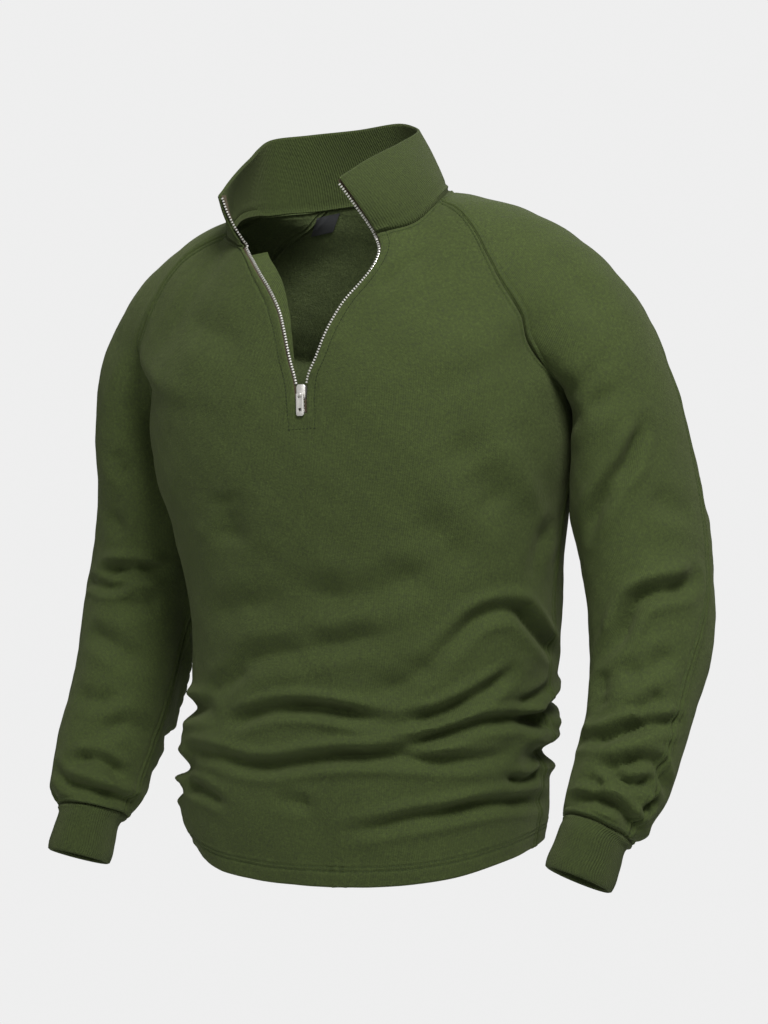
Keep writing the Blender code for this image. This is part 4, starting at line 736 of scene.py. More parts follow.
class Cloth:
    """One piece of cloth: fine grids of points welded where they meet."""

    def __init__(self, name, grids):
        self.name = name
        stacked = np.concatenate([grid.reshape(-1, 3) for grid, _ in grids])
        keys = np.round(stacked * 1e6).astype(np.int64)
        _, first, inverse = np.unique(keys, axis=0, return_index=True, return_inverse=True)
        inverse = inverse.reshape(-1)
        self.points = stacked[first]
        self.keys = keys[first]
        self.sink = np.zeros(len(first))
        self.soft_edge = np.zeros(len(first))
        self.map = np.zeros((len(first), 2))
        self.grids = []
        faces = []
        start = 0
        for grid, flip in grids:
            count = grid.shape[0] * grid.shape[1]
            index = inverse[start:start + count].reshape(grid.shape[:2])
            start += count
            faces.append(quads(index, flip))
            self.grids.append(index)
            placed = self.points[index]
            self.map[index] = np.stack([run_length(placed, 1), run_length(placed)], -1)
        self.faces = np.concatenate(faces)

    def raw_normals(self):
        diagonals = np.cross(
            self.points[self.faces[:, 2]] - self.points[self.faces[:, 0]],
            self.points[self.faces[:, 3]] - self.points[self.faces[:, 1]],
        )
        total = np.zeros_like(self.points)
        for corner in range(4):
            np.add.at(total, self.faces[:, corner], diagonals)
        return unit(total)


def edge_distance(placed, side):
    """How far each point of a grid lies from one of its edges, along the cloth."""
    if side in ("top", "bottom"):
        return edge_distance(placed.transpose(1, 0, 2), {"top": "first", "bottom": "last"}[side]).T
    across = run_length(placed, 1)
    return across if side == "first" else across[:, -1:] - across


def dip(distance, depth, place, width):
    return depth * np.exp(-(((distance - place) / width) ** 2))


def sew(cloth, number, *sides):
    """Draws the cloth in along the sewn edges of one of its grids."""
    index = cloth.grids[number]
    for side in sides:
        away = edge_distance(cloth.points[index], side)
        amount = sum(dip(away, *row) for row in SEAM_DIPS)
        cloth.sink[index] = np.where(np.abs(amount) > np.abs(cloth.sink[index]), amount, cloth.sink[index])


def free_edge(cloth, number, side):
    """Marks an edge that is folded over and rounded, not sewn to a neighbour."""
    index = cloth.grids[number]
    line = {"first": index[:, 0], "last": index[:, -1], "top": index[0], "bottom": index[-1]}[side]
    cloth.soft_edge[line] = 1.0


def meeting_points(pieces):
    """The same number for all points, of whichever piece, that lie in one place."""
    keys = np.concatenate([piece.keys for piece in pieces])
    return np.unique(keys, axis=0, return_inverse=True)[1].reshape(-1)


def by_piece(pieces, values):
    return zip(pieces, np.split(values, np.cumsum([len(piece.points) for piece in pieces])[:-1]))


def share_normals(pieces):
    """Normals shared by all pieces that meet at a point, so that they part nowhere."""
    places = meeting_points(pieces)
    total = np.zeros((places.max() + 1, 3))
    np.add.at(total, places, np.concatenate([piece.raw_normals() for piece in pieces]))
    for piece, normals in by_piece(pieces, unit(total)[places]):
        piece.normals = normals


def share_creases(pieces, amounts):
    """Where pieces meet, each point takes the smaller of their crease depths."""
    places = meeting_points(pieces)
    values = np.concatenate(amounts)
    least = np.zeros(places.max() + 1)
    order = np.argsort(-np.abs(values))
    least[places[order]] = values[order]
    for piece, crease in by_piece(pieces, least[places]):
        piece.crease = crease


def open_edges(faces, count):
    """The edges that only one face has: their starts, their ends and the number of that face."""
    starts = faces.ravel()
    ends = np.roll(faces, -1, axis=1).ravel()
    owner = np.repeat(np.arange(len(faces)), 4)
    alone = ~np.isin(starts * count + ends, ends * count + starts) & (starts != ends)
    return starts[alone], ends[alone], owner[alone]


def rim_ways(points, faces, normals):
    """The boundary edges, and at each of their points the way into the cloth, square to its rim."""
    starts, ends, owner = open_edges(faces, len(points))
    middle = points[faces[owner]].mean(axis=1)
    line = unit(points[ends] - points[starts])
    side = unit(np.cross(normals[starts] + normals[ends], line))
    side *= np.sign(dot(side, middle - points[starts]))[:, None]
    ways = np.zeros_like(points)
    np.add.at(ways, starts, side)
    np.add.at(ways, ends, side)
    return starts, ends, unit(ways)


def cloth_object(name, points, faces, flat, sharp_angle, materials, lining=slice(0)):
    """A smooth closed mesh with the cloth's own map. The faces of the lining take the second material."""
    mesh = bpy.data.meshes.new(name)
    mesh.from_pydata(points.tolist(), [], faces)
    corners = np.zeros(len(mesh.loops), int)
    mesh.loops.foreach_get("vertex_index", corners)
    mesh.uv_layers.new(name="cloth").data.foreach_set("uv", flat[corners].astype(np.float32).ravel())
    for material in materials:
        mesh.materials.append(material)
    inner = np.zeros(len(mesh.polygons), int)
    inner[lining] = 1
    mesh.polygons.foreach_set("material_index", inner)
    mesh.shade_smooth()
    mesh.set_sharp_from_angle(angle=math.radians(sharp_angle))
    return add_object(name, mesh)


def cloth_wall(cloth, thickness, material, inner_material):
    """A closed wall with outer and inner faces, a flat rim at a seam and a rounded one at a free edge."""
    points = cloth.points + cloth.normals * (cloth.crease - cloth.sink)[:, None]
    starts, ends, ways = rim_ways(points, cloth.faces, cloth.normals)
    cloth.outer = points + ways * SEAM_OPEN / 2
    wall = thickness(cloth.outer)[:, None] if callable(thickness) else thickness
    cloth.inner = cloth.outer - cloth.normals * wall
    middle = (cloth.outer + cloth.inner) / 2 - ways * cloth.soft_edge[:, None] * wall * EDGE_ROUNDING
    count = len(points)
    rim, place = np.unique(np.concatenate([starts, ends]), return_inverse=True)
    first, last = np.split(place.reshape(-1) + 2 * count, 2)
    faces = np.concatenate([
        cloth.faces,
        cloth.faces[:, ::-1] + count,
        np.stack([ends, starts, first, last], -1),
        np.stack([last, first, starts + count, ends + count], -1),
    ])
    faces = [list(dict.fromkeys(face)) for face in faces.tolist()]
    cloth.object = cloth_object(
        cloth.name,
        np.concatenate([cloth.outer, cloth.inner, middle[rim]]),
        [face for face in faces if len(face) > 2],
        np.concatenate([cloth.map, cloth.map, cloth.map[rim]]),
        55,
        (material, inner_material),
        slice(len(cloth.faces), 2 * len(cloth.faces)),
    )
    return cloth.object


# ---- creases of body and sleeves ----
# Worn fleece breaks into soft troughs with a raised lip on either side. Each one is listed with its own depth and
# width. Those in view are given by pixels, those out of view by their place on the form.
# Every row holds depth, width, share of the depth in the upper and in the lower lip, and the path.
BODY_CREASES = (
    (0.0045, 0.0120, 0.30, 0.30, ((228, 668), (262, 656), (300, 650), (340, 643), (392, 632))),
    (0.0085, 0.0075, 0.55, 0.35, ((233, 723), (270, 710), (310, 708), (345, 713), (377, 720), (392, 722))),
    (0.0075, 0.0075, 0.50, 0.35, ((402, 724), (440, 715), (470, 700), (492, 687), (512, 672))),
    (0.0085, 0.0070, 0.55, 0.35, ((382, 750), (410, 745), (445, 735), (480, 724), (520, 720), (552, 730))),
    (0.0080, 0.0075, 0.55, 0.35, (
        (192, 751), (220, 756), (250, 766), (270, 767), (300, 762), (345, 757), (390, 757), (445, 761), (480, 760),
        (507, 754),
    )),
    (0.0060, 0.0070, 0.40, 0.30, ((186, 784), (205, 792), (222, 803))),
    (0.0030, 0.0080, 0.30, 0.30, ((280, 800), (296, 803), (312, 806))),
    (0.0070, 0.0075, 0.55, 0.35, (
        (345, 832), (380, 827), (402, 821), (440, 815), (480, 806), (520, 801), (545, 800),
    )),
    (0.0055, 0.0060, 0.40, 0.30, ((505, 779), (525, 781), (540, 769))),
    (0.0075, 0.0085, 0.50, 0.30, (
        (440, 655), (460, 635), (475, 620), (497, 611), (520, 612), (532, 625), (545, 642), (556, 656),
    )),
    (0.0045, 0.0070, 0.35, 0.30, ((507, 707), (532, 700), (549, 688))),
    (0.0045, 0.0110, 0.30, 0.30, ((380, 693), (410, 680), (436, 658))),
    (0.0045, 0.0110, 0.30, 0.30, ((210, 692), (228, 682), (248, 668))),
    (0.0025, 0.0080, 0.30, 0.20, ((377, 293), (400, 270), (427, 253))),
    (0.0045, 0.0220, 0.25, 0.25, ((452, 436), (478, 474), (502, 514))),
    (-0.0035, 0.0140, 0.10, 0.10, ((498, 440), (524, 482), (545, 522))),
    (0.0040, 0.0200, 0.20, 0.20, ((418, 516), (444, 540), (472, 562))),
    (0.0045, 0.0220, 0.25, 0.25, ((222, 492), (228, 520), (230, 550))),
    (0.0030, 0.0180, 0.20, 0.20, ((188, 318), (214, 334), (242, 347))),
    (0.0040, 0.0160, 0.30, 0.25, ((300, 590), (344, 596), (396, 584), (432, 566))),
    (0.0035, 0.0150, 0.25, 0.25, ((212, 612), (246, 606), (282, 600))),
    (0.0040, 0.0130, 0.25, 0.25, ((556, 520), (540, 548), (534, 578))),
)
LEFT_SLEEVE_CREASES = (
    (0.0085, 0.0080, 0.45, 0.35, ((644, 424), (635, 447), (627, 465), (607, 490), (595, 512), (588, 534))),
    (0.0095, 0.0085, 0.60, 0.35, (
        (694, 578), (680, 587), (655, 592), (637, 600), (627, 617), (617, 640), (602, 657),
    )),
    (0.0045, 0.0110, 0.30, 0.30, ((603, 668), (601, 690), (600, 710))),
    (0.0060, 0.0090, 0.40, 0.30, ((664, 694), (650, 705), (636, 716))),
    (0.0090, 0.0070, 0.55, 0.35, ((580, 740), (605, 737), (630, 729), (655, 724), (680, 722))),
    (0.0070, 0.0065, 0.50, 0.35, ((596, 768), (622, 764), (640, 760), (657, 762), (662, 776), (666, 790))),
    (0.0045, 0.0060, 0.35, 0.30, ((586, 778), (594, 782), (603, 789))),
    (0.0080, 0.0060, 0.55, 0.35, ((570, 801), (600, 801), (617, 807), (630, 820), (643, 831))),
    (0.0060, 0.0060, 0.45, 0.30, ((608, 766), (622, 780), (637, 784), (653, 780))),
    (0.0070, 0.0050, 0.40, 0.30, ((643, 813), (650, 807), (657, 800))),
    (0.0035, 0.0100, 0.25, 0.25, ((557, 400), (590, 377), (612, 352))),
    (0.0045, 0.0120, 0.25, 0.25, ((566, 420), (592, 404), (616, 386))),
    (-0.0040, 0.0120, 0.10, 0.10, ((640, 566), (664, 572), (688, 562))),
    (0.0030, 0.0120, 0.25, 0.25, ((650, 492), (670, 506), (692, 512))),
    (0.0045, 0.0100, 0.30, 0.30, ((620, 676), (648, 668), (676, 652))),
    (0.0030, 0.0150, 0.20, 0.20, ((566, 268), (592, 300), (606, 334))),
)
RIGHT_SLEEVE_CREASES = (
    (0.0090, 0.0080, 0.55, 0.35, ((86, 571), (105, 572), (120, 570), (140, 570), (164, 573))),
    (0.0060, 0.0065, 0.30, 0.40, ((90, 580), (117, 586), (137, 576))),
    (0.0050, 0.0110, 0.30, 0.30, ((88, 630), (105, 640), (122, 650), (142, 661))),
    (0.0070, 0.0075, 0.45, 0.35, ((72, 761), (97, 760), (112, 767), (124, 778))),
    (0.0075, 0.0070, 0.50, 0.35, ((56, 770), (67, 782), (90, 790), (115, 797), (137, 803))),
    (0.0045, 0.0100, 0.30, 0.30, ((98, 731), (130, 724), (152, 736))),
    (0.0040, 0.0120, 0.25, 0.25, ((114, 453), (121, 465), (128, 477))),
    (0.0040, 0.0110, 0.25, 0.25, ((109, 513), (116, 524), (123, 537))),
    (0.0045, 0.0110, 0.25, 0.25, ((118, 600), (140, 606), (160, 600))),
    (0.0040, 0.0100, 0.25, 0.25, ((78, 694), (98, 700), (120, 694))),
    (0.0035, 0.0150, 0.20, 0.20, ((140, 350), (134, 384), (130, 418))),
)
# Out of view: on the torso a path holds (angle, height), on a sleeve (share of its path, angle).
HEM_CREASES = (
    (0.0090, 0.0090, 0.60, 0.45, ((-14, -0.492), (8, -0.486), (28, -0.480), (52, -0.470))),
    (0.0095, 0.0090, 0.60, 0.45, ((-12, -0.522), (12, -0.529), (32, -0.534), (58, -0.530))),
    (-0.0040, 0.0150, 0.10, 0.10, ((-20, -0.505), (10, -0.507), (40, -0.506))),
    (0.0085, 0.0090, 0.60, 0.45, ((-128, -0.468), (-150, -0.473), (-172, -0.477), (-196, -0.474))),
    (0.0090, 0.0090, 0.60, 0.45, ((-134, -0.526), (-154, -0.531), (-176, -0.537), (-200, -0.533))),
    (0.0070, 0.0070, 0.50, 0.35, ((-144, -0.550), (-158, -0.554), (-178, -0.550))),
    (-0.0045, 0.0170, 0.10, 0.10, ((-110, -0.497), (-148, -0.502), (-190, -0.504))),
)
BACK_CREASES = (
    *HEM_CREASES,
    (0.0075, 0.0100, 0.50, 0.35, ((60, -0.470), (84, -0.476), (112, -0.470), (140, -0.478))),
    (0.0085, 0.0095, 0.50, 0.35, ((14, -0.512), (50, -0.505), (80, -0.511), (104, -0.518))),
    (0.0075, 0.0090, 0.50, 0.35, ((92, -0.496), (120, -0.502), (150, -0.500), (172, -0.508))),
    (0.0060, 0.0110, 0.40, 0.30, ((36, -0.550), (70, -0.556), (100, -0.552), (150, -0.545))),
    (0.0055, 0.0150, 0.30, 0.30, ((48, -0.420), (80, -0.408), (110, -0.414), (136, -0.430))),
    (0.0060, 0.0100, 0.40, 0.30, ((20, -0.446), (44, -0.455), (66, -0.447))),
    (0.0055, 0.0090, 0.40, 0.30, ((118, -0.526), (140, -0.530), (162, -0.524))),
    (0.0045, 0.0100, 0.30, 0.30, ((54, -0.583), (84, -0.580), (118, -0.584))),
    (0.0050, 0.0140, 0.30, 0.25, ((36, -0.262), (52, -0.318), (60, -0.362))),
    (0.0050, 0.0140, 0.30, 0.25, ((142, -0.258), (128, -0.316), (122, -0.372))),
    (0.0045, 0.0180, 0.25, 0.25, ((76, -0.352), (94, -0.364), (112, -0.356))),
    (0.0035, 0.0200, 0.20, 0.20, ((70, -0.120), (84, -0.160), (88, -0.210))),
)
# The hem's rows come first here too. Read as places on a sleeve, each runs straight from its top to its
# cuff, and creases it near the cuff and on the inside of the arm.
LEFT_BACK_CREASES = (
    *HEM_CREASES,
    (0.0075, 0.0110, 0.45, 0.35, ((0.640, -150), (0.655, -110), (0.640, -70), (0.600, -40))),
    (0.0065, 0.0100, 0.45, 0.30, ((0.860, -160), (0.850, -110), (0.870, -60))),
    (0.0070, 0.0090, 0.45, 0.30, ((0.930, -40), (0.918, -90), (0.935, -150))),
    (0.0065, 0.0100, 0.40, 0.30, ((0.700, 170), (0.715, -150), (0.700, -115))),
    (0.0060, 0.0110, 0.35, 0.30, ((0.560, -30), (0.548, -70), (0.560, -112))),
    (0.0050, 0.0120, 0.30, 0.30, ((0.780, -50), (0.768, -96), (0.786, -140))),
    (0.0050, 0.0130, 0.30, 0.25, ((0.440, -120), (0.470, -96), (0.505, -84))),
)
RIGHT_BACK_CREASES = (
    *HEM_CREASES,
    (0.0075, 0.0110, 0.45, 0.35, ((0.640, -150), (0.650, -110), (0.636, -70), (0.655, -20))),
    (0.0065, 0.0100, 0.45, 0.30, ((0.850, -160), (0.862, -110), (0.850, -60))),
    (0.0070, 0.0090, 0.45, 0.30, ((0.925, -30), (0.935, -90), (0.920, -150))),
    (0.0055, 0.0110, 0.35, 0.30, ((0.580, -40), (0.566, -84), (0.584, -124))),
    (0.0055, 0.0110, 0.35, 0.30, ((0.745, -140), (0.732, -90), (0.750, -44))),
    (0.0050, 0.0130, 0.30, 0.25, ((0.430, -118), (0.462, -92), (0.500, -80))),
)
CREASE_STEPS = np.linspace(0, 1, 18)
CREASE_SCALE = 1.15
CREASE_REACH = 4.5                  # widths from its line, within which a crease acts
CREASE_FADE = (-0.10, 0.24)         # shares of its length, between which each end fades in
TROUGH_WIDTH = 0.85                 # of the row's width
LIP_PLACE = 1.9                     # trough widths from the line to a lip's top
LIP_WIDTH = 0.85
LIP_CHANGE = 0.7                    # of the row's width, over which the lower lip gives way to the upper
UNEVEN = ((0.22, 2.3, 9.0), (0.10, 5.1, 21.0))  # strength, shift per crease, and waves along it
CREASE_LIMITS = (-0.015, 0.009)     # deepest trough and highest lip
LOOSE_WAVES = (             # height, waves along x, y and z, and start of each
    (0.00045, (41, 17, 33), 0.4),
    (0.00040, (-29, 52, 26), 2.1),
    (0.00035, (58, -31, 61), 4.0),
    (0.00025, (93, 71, -84), 1.2),
    (0.00022, (-120, 66, 104), 5.3),
    (0.00016, (140, -173, 151), 3.3),
    (0.00012, (-231, 190, 214), 0.9),
)
HEM_STITCHES = (0.0175, 0.0135)     # above the hem's edge
HEM_DIP = (0.0010, 0.0014)          # depth and width of the dip under each row
HEM_STEP = 0.0009                   # height of the step where the turned hem ends
HEM_STEP_WIDTH = 0.003
HEM_CURL = (0.0030, 0.0090)         # how far the hem's edge curls in at the left and right sides
HEM_CURL_REACH = (0.10, 0.17)       # from the middle, between which the curl grows
HEM_CURL_HEIGHT = 0.034
PLACKET = 0.0075                    # from the zip's edge to the stitched frame round it
PLACKET_DIPS = ((0.0009, PLACKET, 0.0013), (-0.0004, PLACKET / 2, 0.0025))
FRONT_HALF = {1: 1, -1: 2}          # which grid of the front lies on each side; 0 is the strip between them


def seen_line(pixels, target):
    """The line on the cloth under a row of pixels."""
    places = [seen_on(target, x, y) for x, y in pixels]
    places = [tuple(place) for place in places if place is not None]
    return curve_points(places, CREASE_STEPS) if len(places) > 1 else None


def crease_lines(seen, hidden, target, place):
    """The rows of two tables, each with its path as a line on the cloth."""
    made = [(*row[:4], seen_line(row[4], target)) for row in seen]
    made = [row for row in made if row[4] is not None]
    return made + [(*row[:4], curve_points(place(*np.array(row[4], float).T), CREASE_STEPS)) for row in hidden]


def crease_depth(points, lines):
    """How far each point is pushed out, negative in a trough."""
    total = np.zeros(len(points))
    for number, (depth, width, upper, lower, line) in enumerate(lines):
        reach = CREASE_REACH * width
        close = ((points > line.min(axis=0) - reach) & (points < line.max(axis=0) + reach)).all(axis=1)
        close = np.flatnonzero(close)
        if len(close) == 0:
            continue
        start = line[:-1]
        step = np.diff(line, axis=0)
        gap = points[close, None, :] - start[None]
        along = np.clip(np.einsum("nij,ij->ni", gap, step) / np.einsum("ij,ij->i", step, step), 0, 1)
        apart = np.linalg.norm(gap - along[..., None] * step[None], axis=2)
        nearest = np.argmin(apart, axis=1)
        pick = np.arange(len(close))
        distance = apart[pick, nearest] / (TROUGH_WIDTH * width)
        share = (nearest + along[pick, nearest]) / (len(line) - 1)
        at = start[nearest] + along[pick, nearest][:, None] * step[nearest]
        above = (1 + np.tanh((points[close, 2] - at[:, 2]) / (LIP_CHANGE * width))) / 2
        fade = smooth_step(np.minimum(share, 1 - share), *CREASE_FADE)
        uneven = sum((size * np.sin(shift * number + waves * share) for size, shift, waves in UNEVEN), start=1)
        lips = dip(distance, lower + (upper - lower) * above, LIP_PLACE, LIP_WIDTH)
        total[close] += -depth * fade * uneven * (np.exp(-(distance ** 1.6)) - lips)
    return total


def loose_hang(points):
    """Broad, shallow unevenness of cloth that hangs loose."""
    return sum(size * np.sin(points @ np.array(way, float) + start) for size, way, start in LOOSE_WAVES)


def places_along(cells, sewn, plain, second=None):
    """Places along a row of cells, as cell numbers with parts: closest together beside the sewn lines."""
    places = []
    for cell in range(cells):
        if cell in sewn:
            parts = SEAM_PLACES
        elif cell + 1 in sewn:
            parts = (0.0,) + tuple(1 - part for part in SEAM_PLACES[:0:-1])
        else:
            parts = second if second and cell + 2 in sewn else plain
        places += [cell + part for part in parts]
    return np.array(places + [cells], float)


SLEEVE_GRIDS = {side: sleeve_grid(side) for side in SIDES}
FRONT_GRIDS = front_grid({side: grid[:, 0] for side, grid in SLEEVE_GRIDS.items()})
BACK_GRID = back_grid({side: grid[:, -1] for side, grid in SLEEVE_GRIDS.items()})

yoke_rows = places_along(YOKE_ROWS, (0,), ROW_PLACES)[:-1]
sleeve_rows = places_along(SLEEVE_ROWS, (SLEEVE_ROWS,), ROW_PLACES, HEM_PLACES) + YOKE_ROWS
torso_rows = places_along(TORSO_ROWS, (TORSO_ROWS,), ROW_PLACES, HEM_PLACES) + YOKE_ROWS
SLEEVE_DOWN = np.concatenate([yoke_rows, sleeve_rows])
TORSO_DOWN = np.concatenate([yoke_rows, torso_rows])
front_columns = places_along(FRONT_COLUMNS, (FRONT_COLUMNS,), COLUMN_PLACES)
FRONT_ACROSS = np.concatenate([ZIP_SIDE_PLACES, front_columns[front_columns >= 1]])
BACK_ACROSS = places_along(BACK_COLUMNS, (0, BACK_COLUMNS), COLUMN_PLACES)
SLEEVE_WIDTH = SLEEVE_FRONT_COLUMNS + SLEEVE_BACK_COLUMNS
SLEEVE_ACROSS = places_along(SLEEVE_WIDTH, (0, SLEEVE_FRONT_COLUMNS, SLEEVE_WIDTH), COLUMN_PLACES)
ELBOW_COLUMN = int(np.searchsorted(SLEEVE_ACROSS, SLEEVE_FRONT_COLUMNS - 1e-6))
UNDERARM_ROW = int(np.searchsorted(TORSO_DOWN, YOKE_ROWS - 1e-6))
ZIP_END_ROW = int(np.searchsorted(TORSO_DOWN, ZIP_ROWS - 1e-6))

FINE_SLEEVES = {
    side: finer(grid, SLEEVE_DOWN, SLEEVE_ACROSS, (0, grid.shape[1] - 1)) for side, grid in SLEEVE_GRIDS.items()
}
FINE_FRONTS = {
    side: finer(grid, TORSO_DOWN, FRONT_ACROSS, (grid.shape[1] - 1,)) for side, grid in FRONT_GRIDS.items()
}
FINE_BACK = finer(BACK_GRID, TORSO_DOWN, BACK_ACROSS, (0, BACK_GRID.shape[1] - 1))
for side, grid in FINE_SLEEVES.items():
    front_seam = FINE_FRONTS[side][:, -1]
    back_seam = FINE_BACK[:, 0 if side > 0 else -1]
    front_seam[:UNDERARM_ROW + 1] = grid[:UNDERARM_ROW + 1, 0]
    grid[UNDERARM_ROW:, -1] = grid[UNDERARM_ROW:, 0]
    back_seam[:UNDERARM_ROW + 1] = grid[:UNDERARM_ROW + 1, -1]
    back_seam[UNDERARM_ROW:] = front_seam[UNDERARM_ROW:]
left_middle = FINE_FRONTS[1][ZIP_END_ROW:, 0]
right_middle = FINE_FRONTS[-1][ZIP_END_ROW:, 0]
CENTRE_STRIP = np.stack([
    right_middle + (left_middle - right_middle) * part for part in (0, 1 / 3, 2 / 3, 1)
], axis=1)

front = Cloth("front", ((CENTRE_STRIP, True), (FINE_FRONTS[1], True), (FINE_FRONTS[-1], False)))
back = Cloth("back", ((FINE_BACK, True),))
sleeves = {}
for side, grid in FINE_SLEEVES.items():
    halves = (("front", grid[:, :ELBOW_COLUMN + 1]), ("back", grid[:, ELBOW_COLUMN:]))
    for half, half_grid in halves:
        sleeves[side, half] = Cloth(f"sleeve_{SIDES[side]}_{half}", ((half_grid, side > 0),))
        sew(sleeves[side, half], 0, "first", "last", "top", "bottom")
    sew(front, FRONT_HALF[side], "last", "top")
    front.soft_edge[front.grids[FRONT_HALF[side]][:ZIP_END_ROW + 1, 0]] = 1.0
sew(back, 0, "first", "last", "top")
BODY_CLOTH = [front, back, *sleeves.values()]

# The turned hem is thicker and ends in a step, and its two rows of stitching draw the cloth in.
for cloth in (front, back):
    for number, index in enumerate(cloth.grids):
        free_edge(cloth, number, "bottom")
        up = edge_distance(cloth.points[index], "bottom")
        across = cloth.points[index][:, :, 0]
        curl = np.where(across > 0, *HEM_CURL) * smooth_step(np.abs(across), *HEM_CURL_REACH)
        cloth.sink[index] += sum(dip(up, HEM_DIP[0], place, HEM_DIP[1]) for place in HEM_STITCHES)
        cloth.sink[index] -= HEM_STEP * smooth_step(HEM_TURN + HEM_STEP_WIDTH / 2 - up, 0, HEM_STEP_WIDTH)
        cloth.sink[index] += curl * smooth_step(HEM_CURL_HEIGHT - up, 0, HEM_CURL_HEIGHT) ** 2

# The placket's stitched frame draws the front in round the zip, and its fold swells a little.
for number in FRONT_HALF.values():
    index = front.grids[number][:ZIP_END_ROW + 3]
    away = edge_distance(front.points[index], "first")
    for row in PLACKET_DIPS:
        front.sink[index] += dip(away, *row)

mesh_starts = np.cumsum([0] + [len(cloth.points) for cloth in BODY_CLOTH])
form = BVHTree.FromPolygons(
    np.concatenate([cloth.points for cloth in BODY_CLOTH]).tolist(),
    np.concatenate([cloth.faces + start for cloth, start in zip(BODY_CLOTH, mesh_starts)]).tolist(),
)
body_lines = crease_lines(BODY_CREASES, BACK_CREASES, form, torso_point)
sleeve_lines = {
    1: crease_lines(LEFT_SLEEVE_CREASES, LEFT_BACK_CREASES, form, SLEEVES[1].point),
    -1: crease_lines(RIGHT_SLEEVE_CREASES, RIGHT_BACK_CREASES, form, SLEEVES[-1].point),
}


# ---- collar ----
# A stand collar of rib knit, folded double at its top edge and sewn to the neck seam. It stands open with
# the zip, so its left end shows its inside.
COLLAR_WALL = 0.0032        # rib knit folded double
COLLAR_ROWS = 3
COLLAR_BULGE = 0.003
COLLAR_MIDDLE = (0.0, -0.02, 0.0)   # it bulges away from here
COLLAR_PLACES = (0, 0.06, 0.16, 0.32, 0.5, 0.7, 0.9, 1.1, 1.3, 1.5, 1.7, 1.9, 2.1, 2.3, 2.5, 2.7, 2.84, 2.94, 3.0)
# Top edge, from the left front corner round the back to the right front corner: x, y and z.
COLLAR_TOP = (
    (0.066, -0.115, 0.011),
    (0.078, -0.080, 0.029),
    (0.090, -0.034, 0.047),
    (0.088, 0.012, 0.063),
    (0.060, 0.038, 0.075),
    (0.004, 0.050, 0.077),
    (-0.048, 0.046, 0.078),
    (-0.079, 0.024, 0.075),
    (-0.080, -0.022, 0.053),
    (-0.076, -0.068, 0.029),
    (-0.071, -0.101, 0.010),
)


def collar_grid():
    """Rows from the neck seam up, columns from the left front edge round the back to the right front edge."""
    neck = np.concatenate([
        FINE_FRONTS[1][0],
        FINE_SLEEVES[1][0][1:],
        FINE_BACK[0][1:],
        FINE_SLEEVES[-1][0][::-1][1:],
        FINE_FRONTS[-1][0][::-1][1:],
    ])
    lengths = run_length(neck)
    top = curve_points(COLLAR_TOP, lengths / lengths[-1])
    rows = []
    for up in np.linspace(0, 1, COLLAR_ROWS + 1):
        line = neck + (top - neck) * up
        outward = unit((line - COLLAR_MIDDLE) * np.array([1.0, 1.0, 0.0]))
        rows.append(line + outward * COLLAR_BULGE * math.sin(math.pi * up))
    return smooth_run(np.array(rows), np.array(COLLAR_PLACES))


collar = Cloth("collar", ((collar_grid(), False),))
sew(collar, 0, "top")
for edge in ("bottom", "first", "last"):
    free_edge(collar, 0, edge)


# ---- cuffs ----
# Each cuff is a short tube of the same rib knit, folded double at the wrist and sewn to the sleeve, which
# is gathered a little into it.
CUFF_WALL = 0.0032
CUFF_DIRECTIONS = {1: (-0.28, -0.42, -0.86), -1: (-0.12, -0.40, -0.90)}
CUFF_PLACES = (
    0, 0.15, 0.4, 0.7, 1.0, 1.2, 1.4, 1.6, 1.8, 2.0, 2.2, 2.4, 2.6, 2.8, 3.0, 3.3, 3.6, 3.85, 4.0,
)
# Rings below the seam: how far along, half their width and half their depth.
CUFF_RINGS = (
    (0.0054, 0.03059, 0.0342),
    (0.0243, 0.03059, 0.03439),
    (0.0423, 0.03116, 0.03477),
    (0.0459, 0.0304, 0.0342),
)


def cuff_grid(sleeve_end, direction):
    """Rows from the cuff seam to the opening, in the columns of the sleeve."""
    direction = unit(np.array(direction))
    centre = sleeve_end[:-1].mean(axis=0)
    front = unit(np.array([0.0, -1.0, 0.0]) - direction * -direction[1])
    out = np.cross(front, direction)
    spokes = sleeve_end - centre
    spokes = spokes - np.outer(spokes @ direction, direction)
    angles = np.arctan2(spokes @ front, spokes @ out)
    rows = [sleeve_end]
    for along, half_out, half_deep in CUFF_RINGS:
        ring = centre + direction * along
        rows.append(ring + np.outer(np.cos(angles) * half_out, out) + np.outer(np.sin(angles) * half_deep, front))
    grid = smooth_run(np.array(rows), np.array(CUFF_PLACES))
    grid[:, -1] = grid[:, 0]
    return grid


cuffs = {}
for side, direction in CUFF_DIRECTIONS.items():
    grid = cuff_grid(FINE_SLEEVES[side][-1], direction)
    cuffs[side] = Cloth(f"cuff_{SIDES[side]}", ((grid, side > 0),))
    sew(cuffs[side], 0, "top")
    free_edge(cuffs[side], 0, "bottom")

# All seams are known now, so the pieces take their shared normals and creases.
ALL_CLOTH = [*BODY_CLOTH, collar, *cuffs.values()]
share_normals(ALL_CLOTH)
piece_lines = {cloth.name: body_lines for cloth in (front, back)}
piece_lines.update((cloth.name, sleeve_lines[side]) for (side, _), cloth in sleeves.items())
amounts = []
for cloth in ALL_CLOTH:
    lines = piece_lines.get(cloth.name, ())
    depth = np.clip(CREASE_SCALE * crease_depth(cloth.points, lines), *CREASE_LIMITS)
    amounts.append(depth + loose_hang(cloth.points) if lines else depth)
share_creases(ALL_CLOTH, amounts)
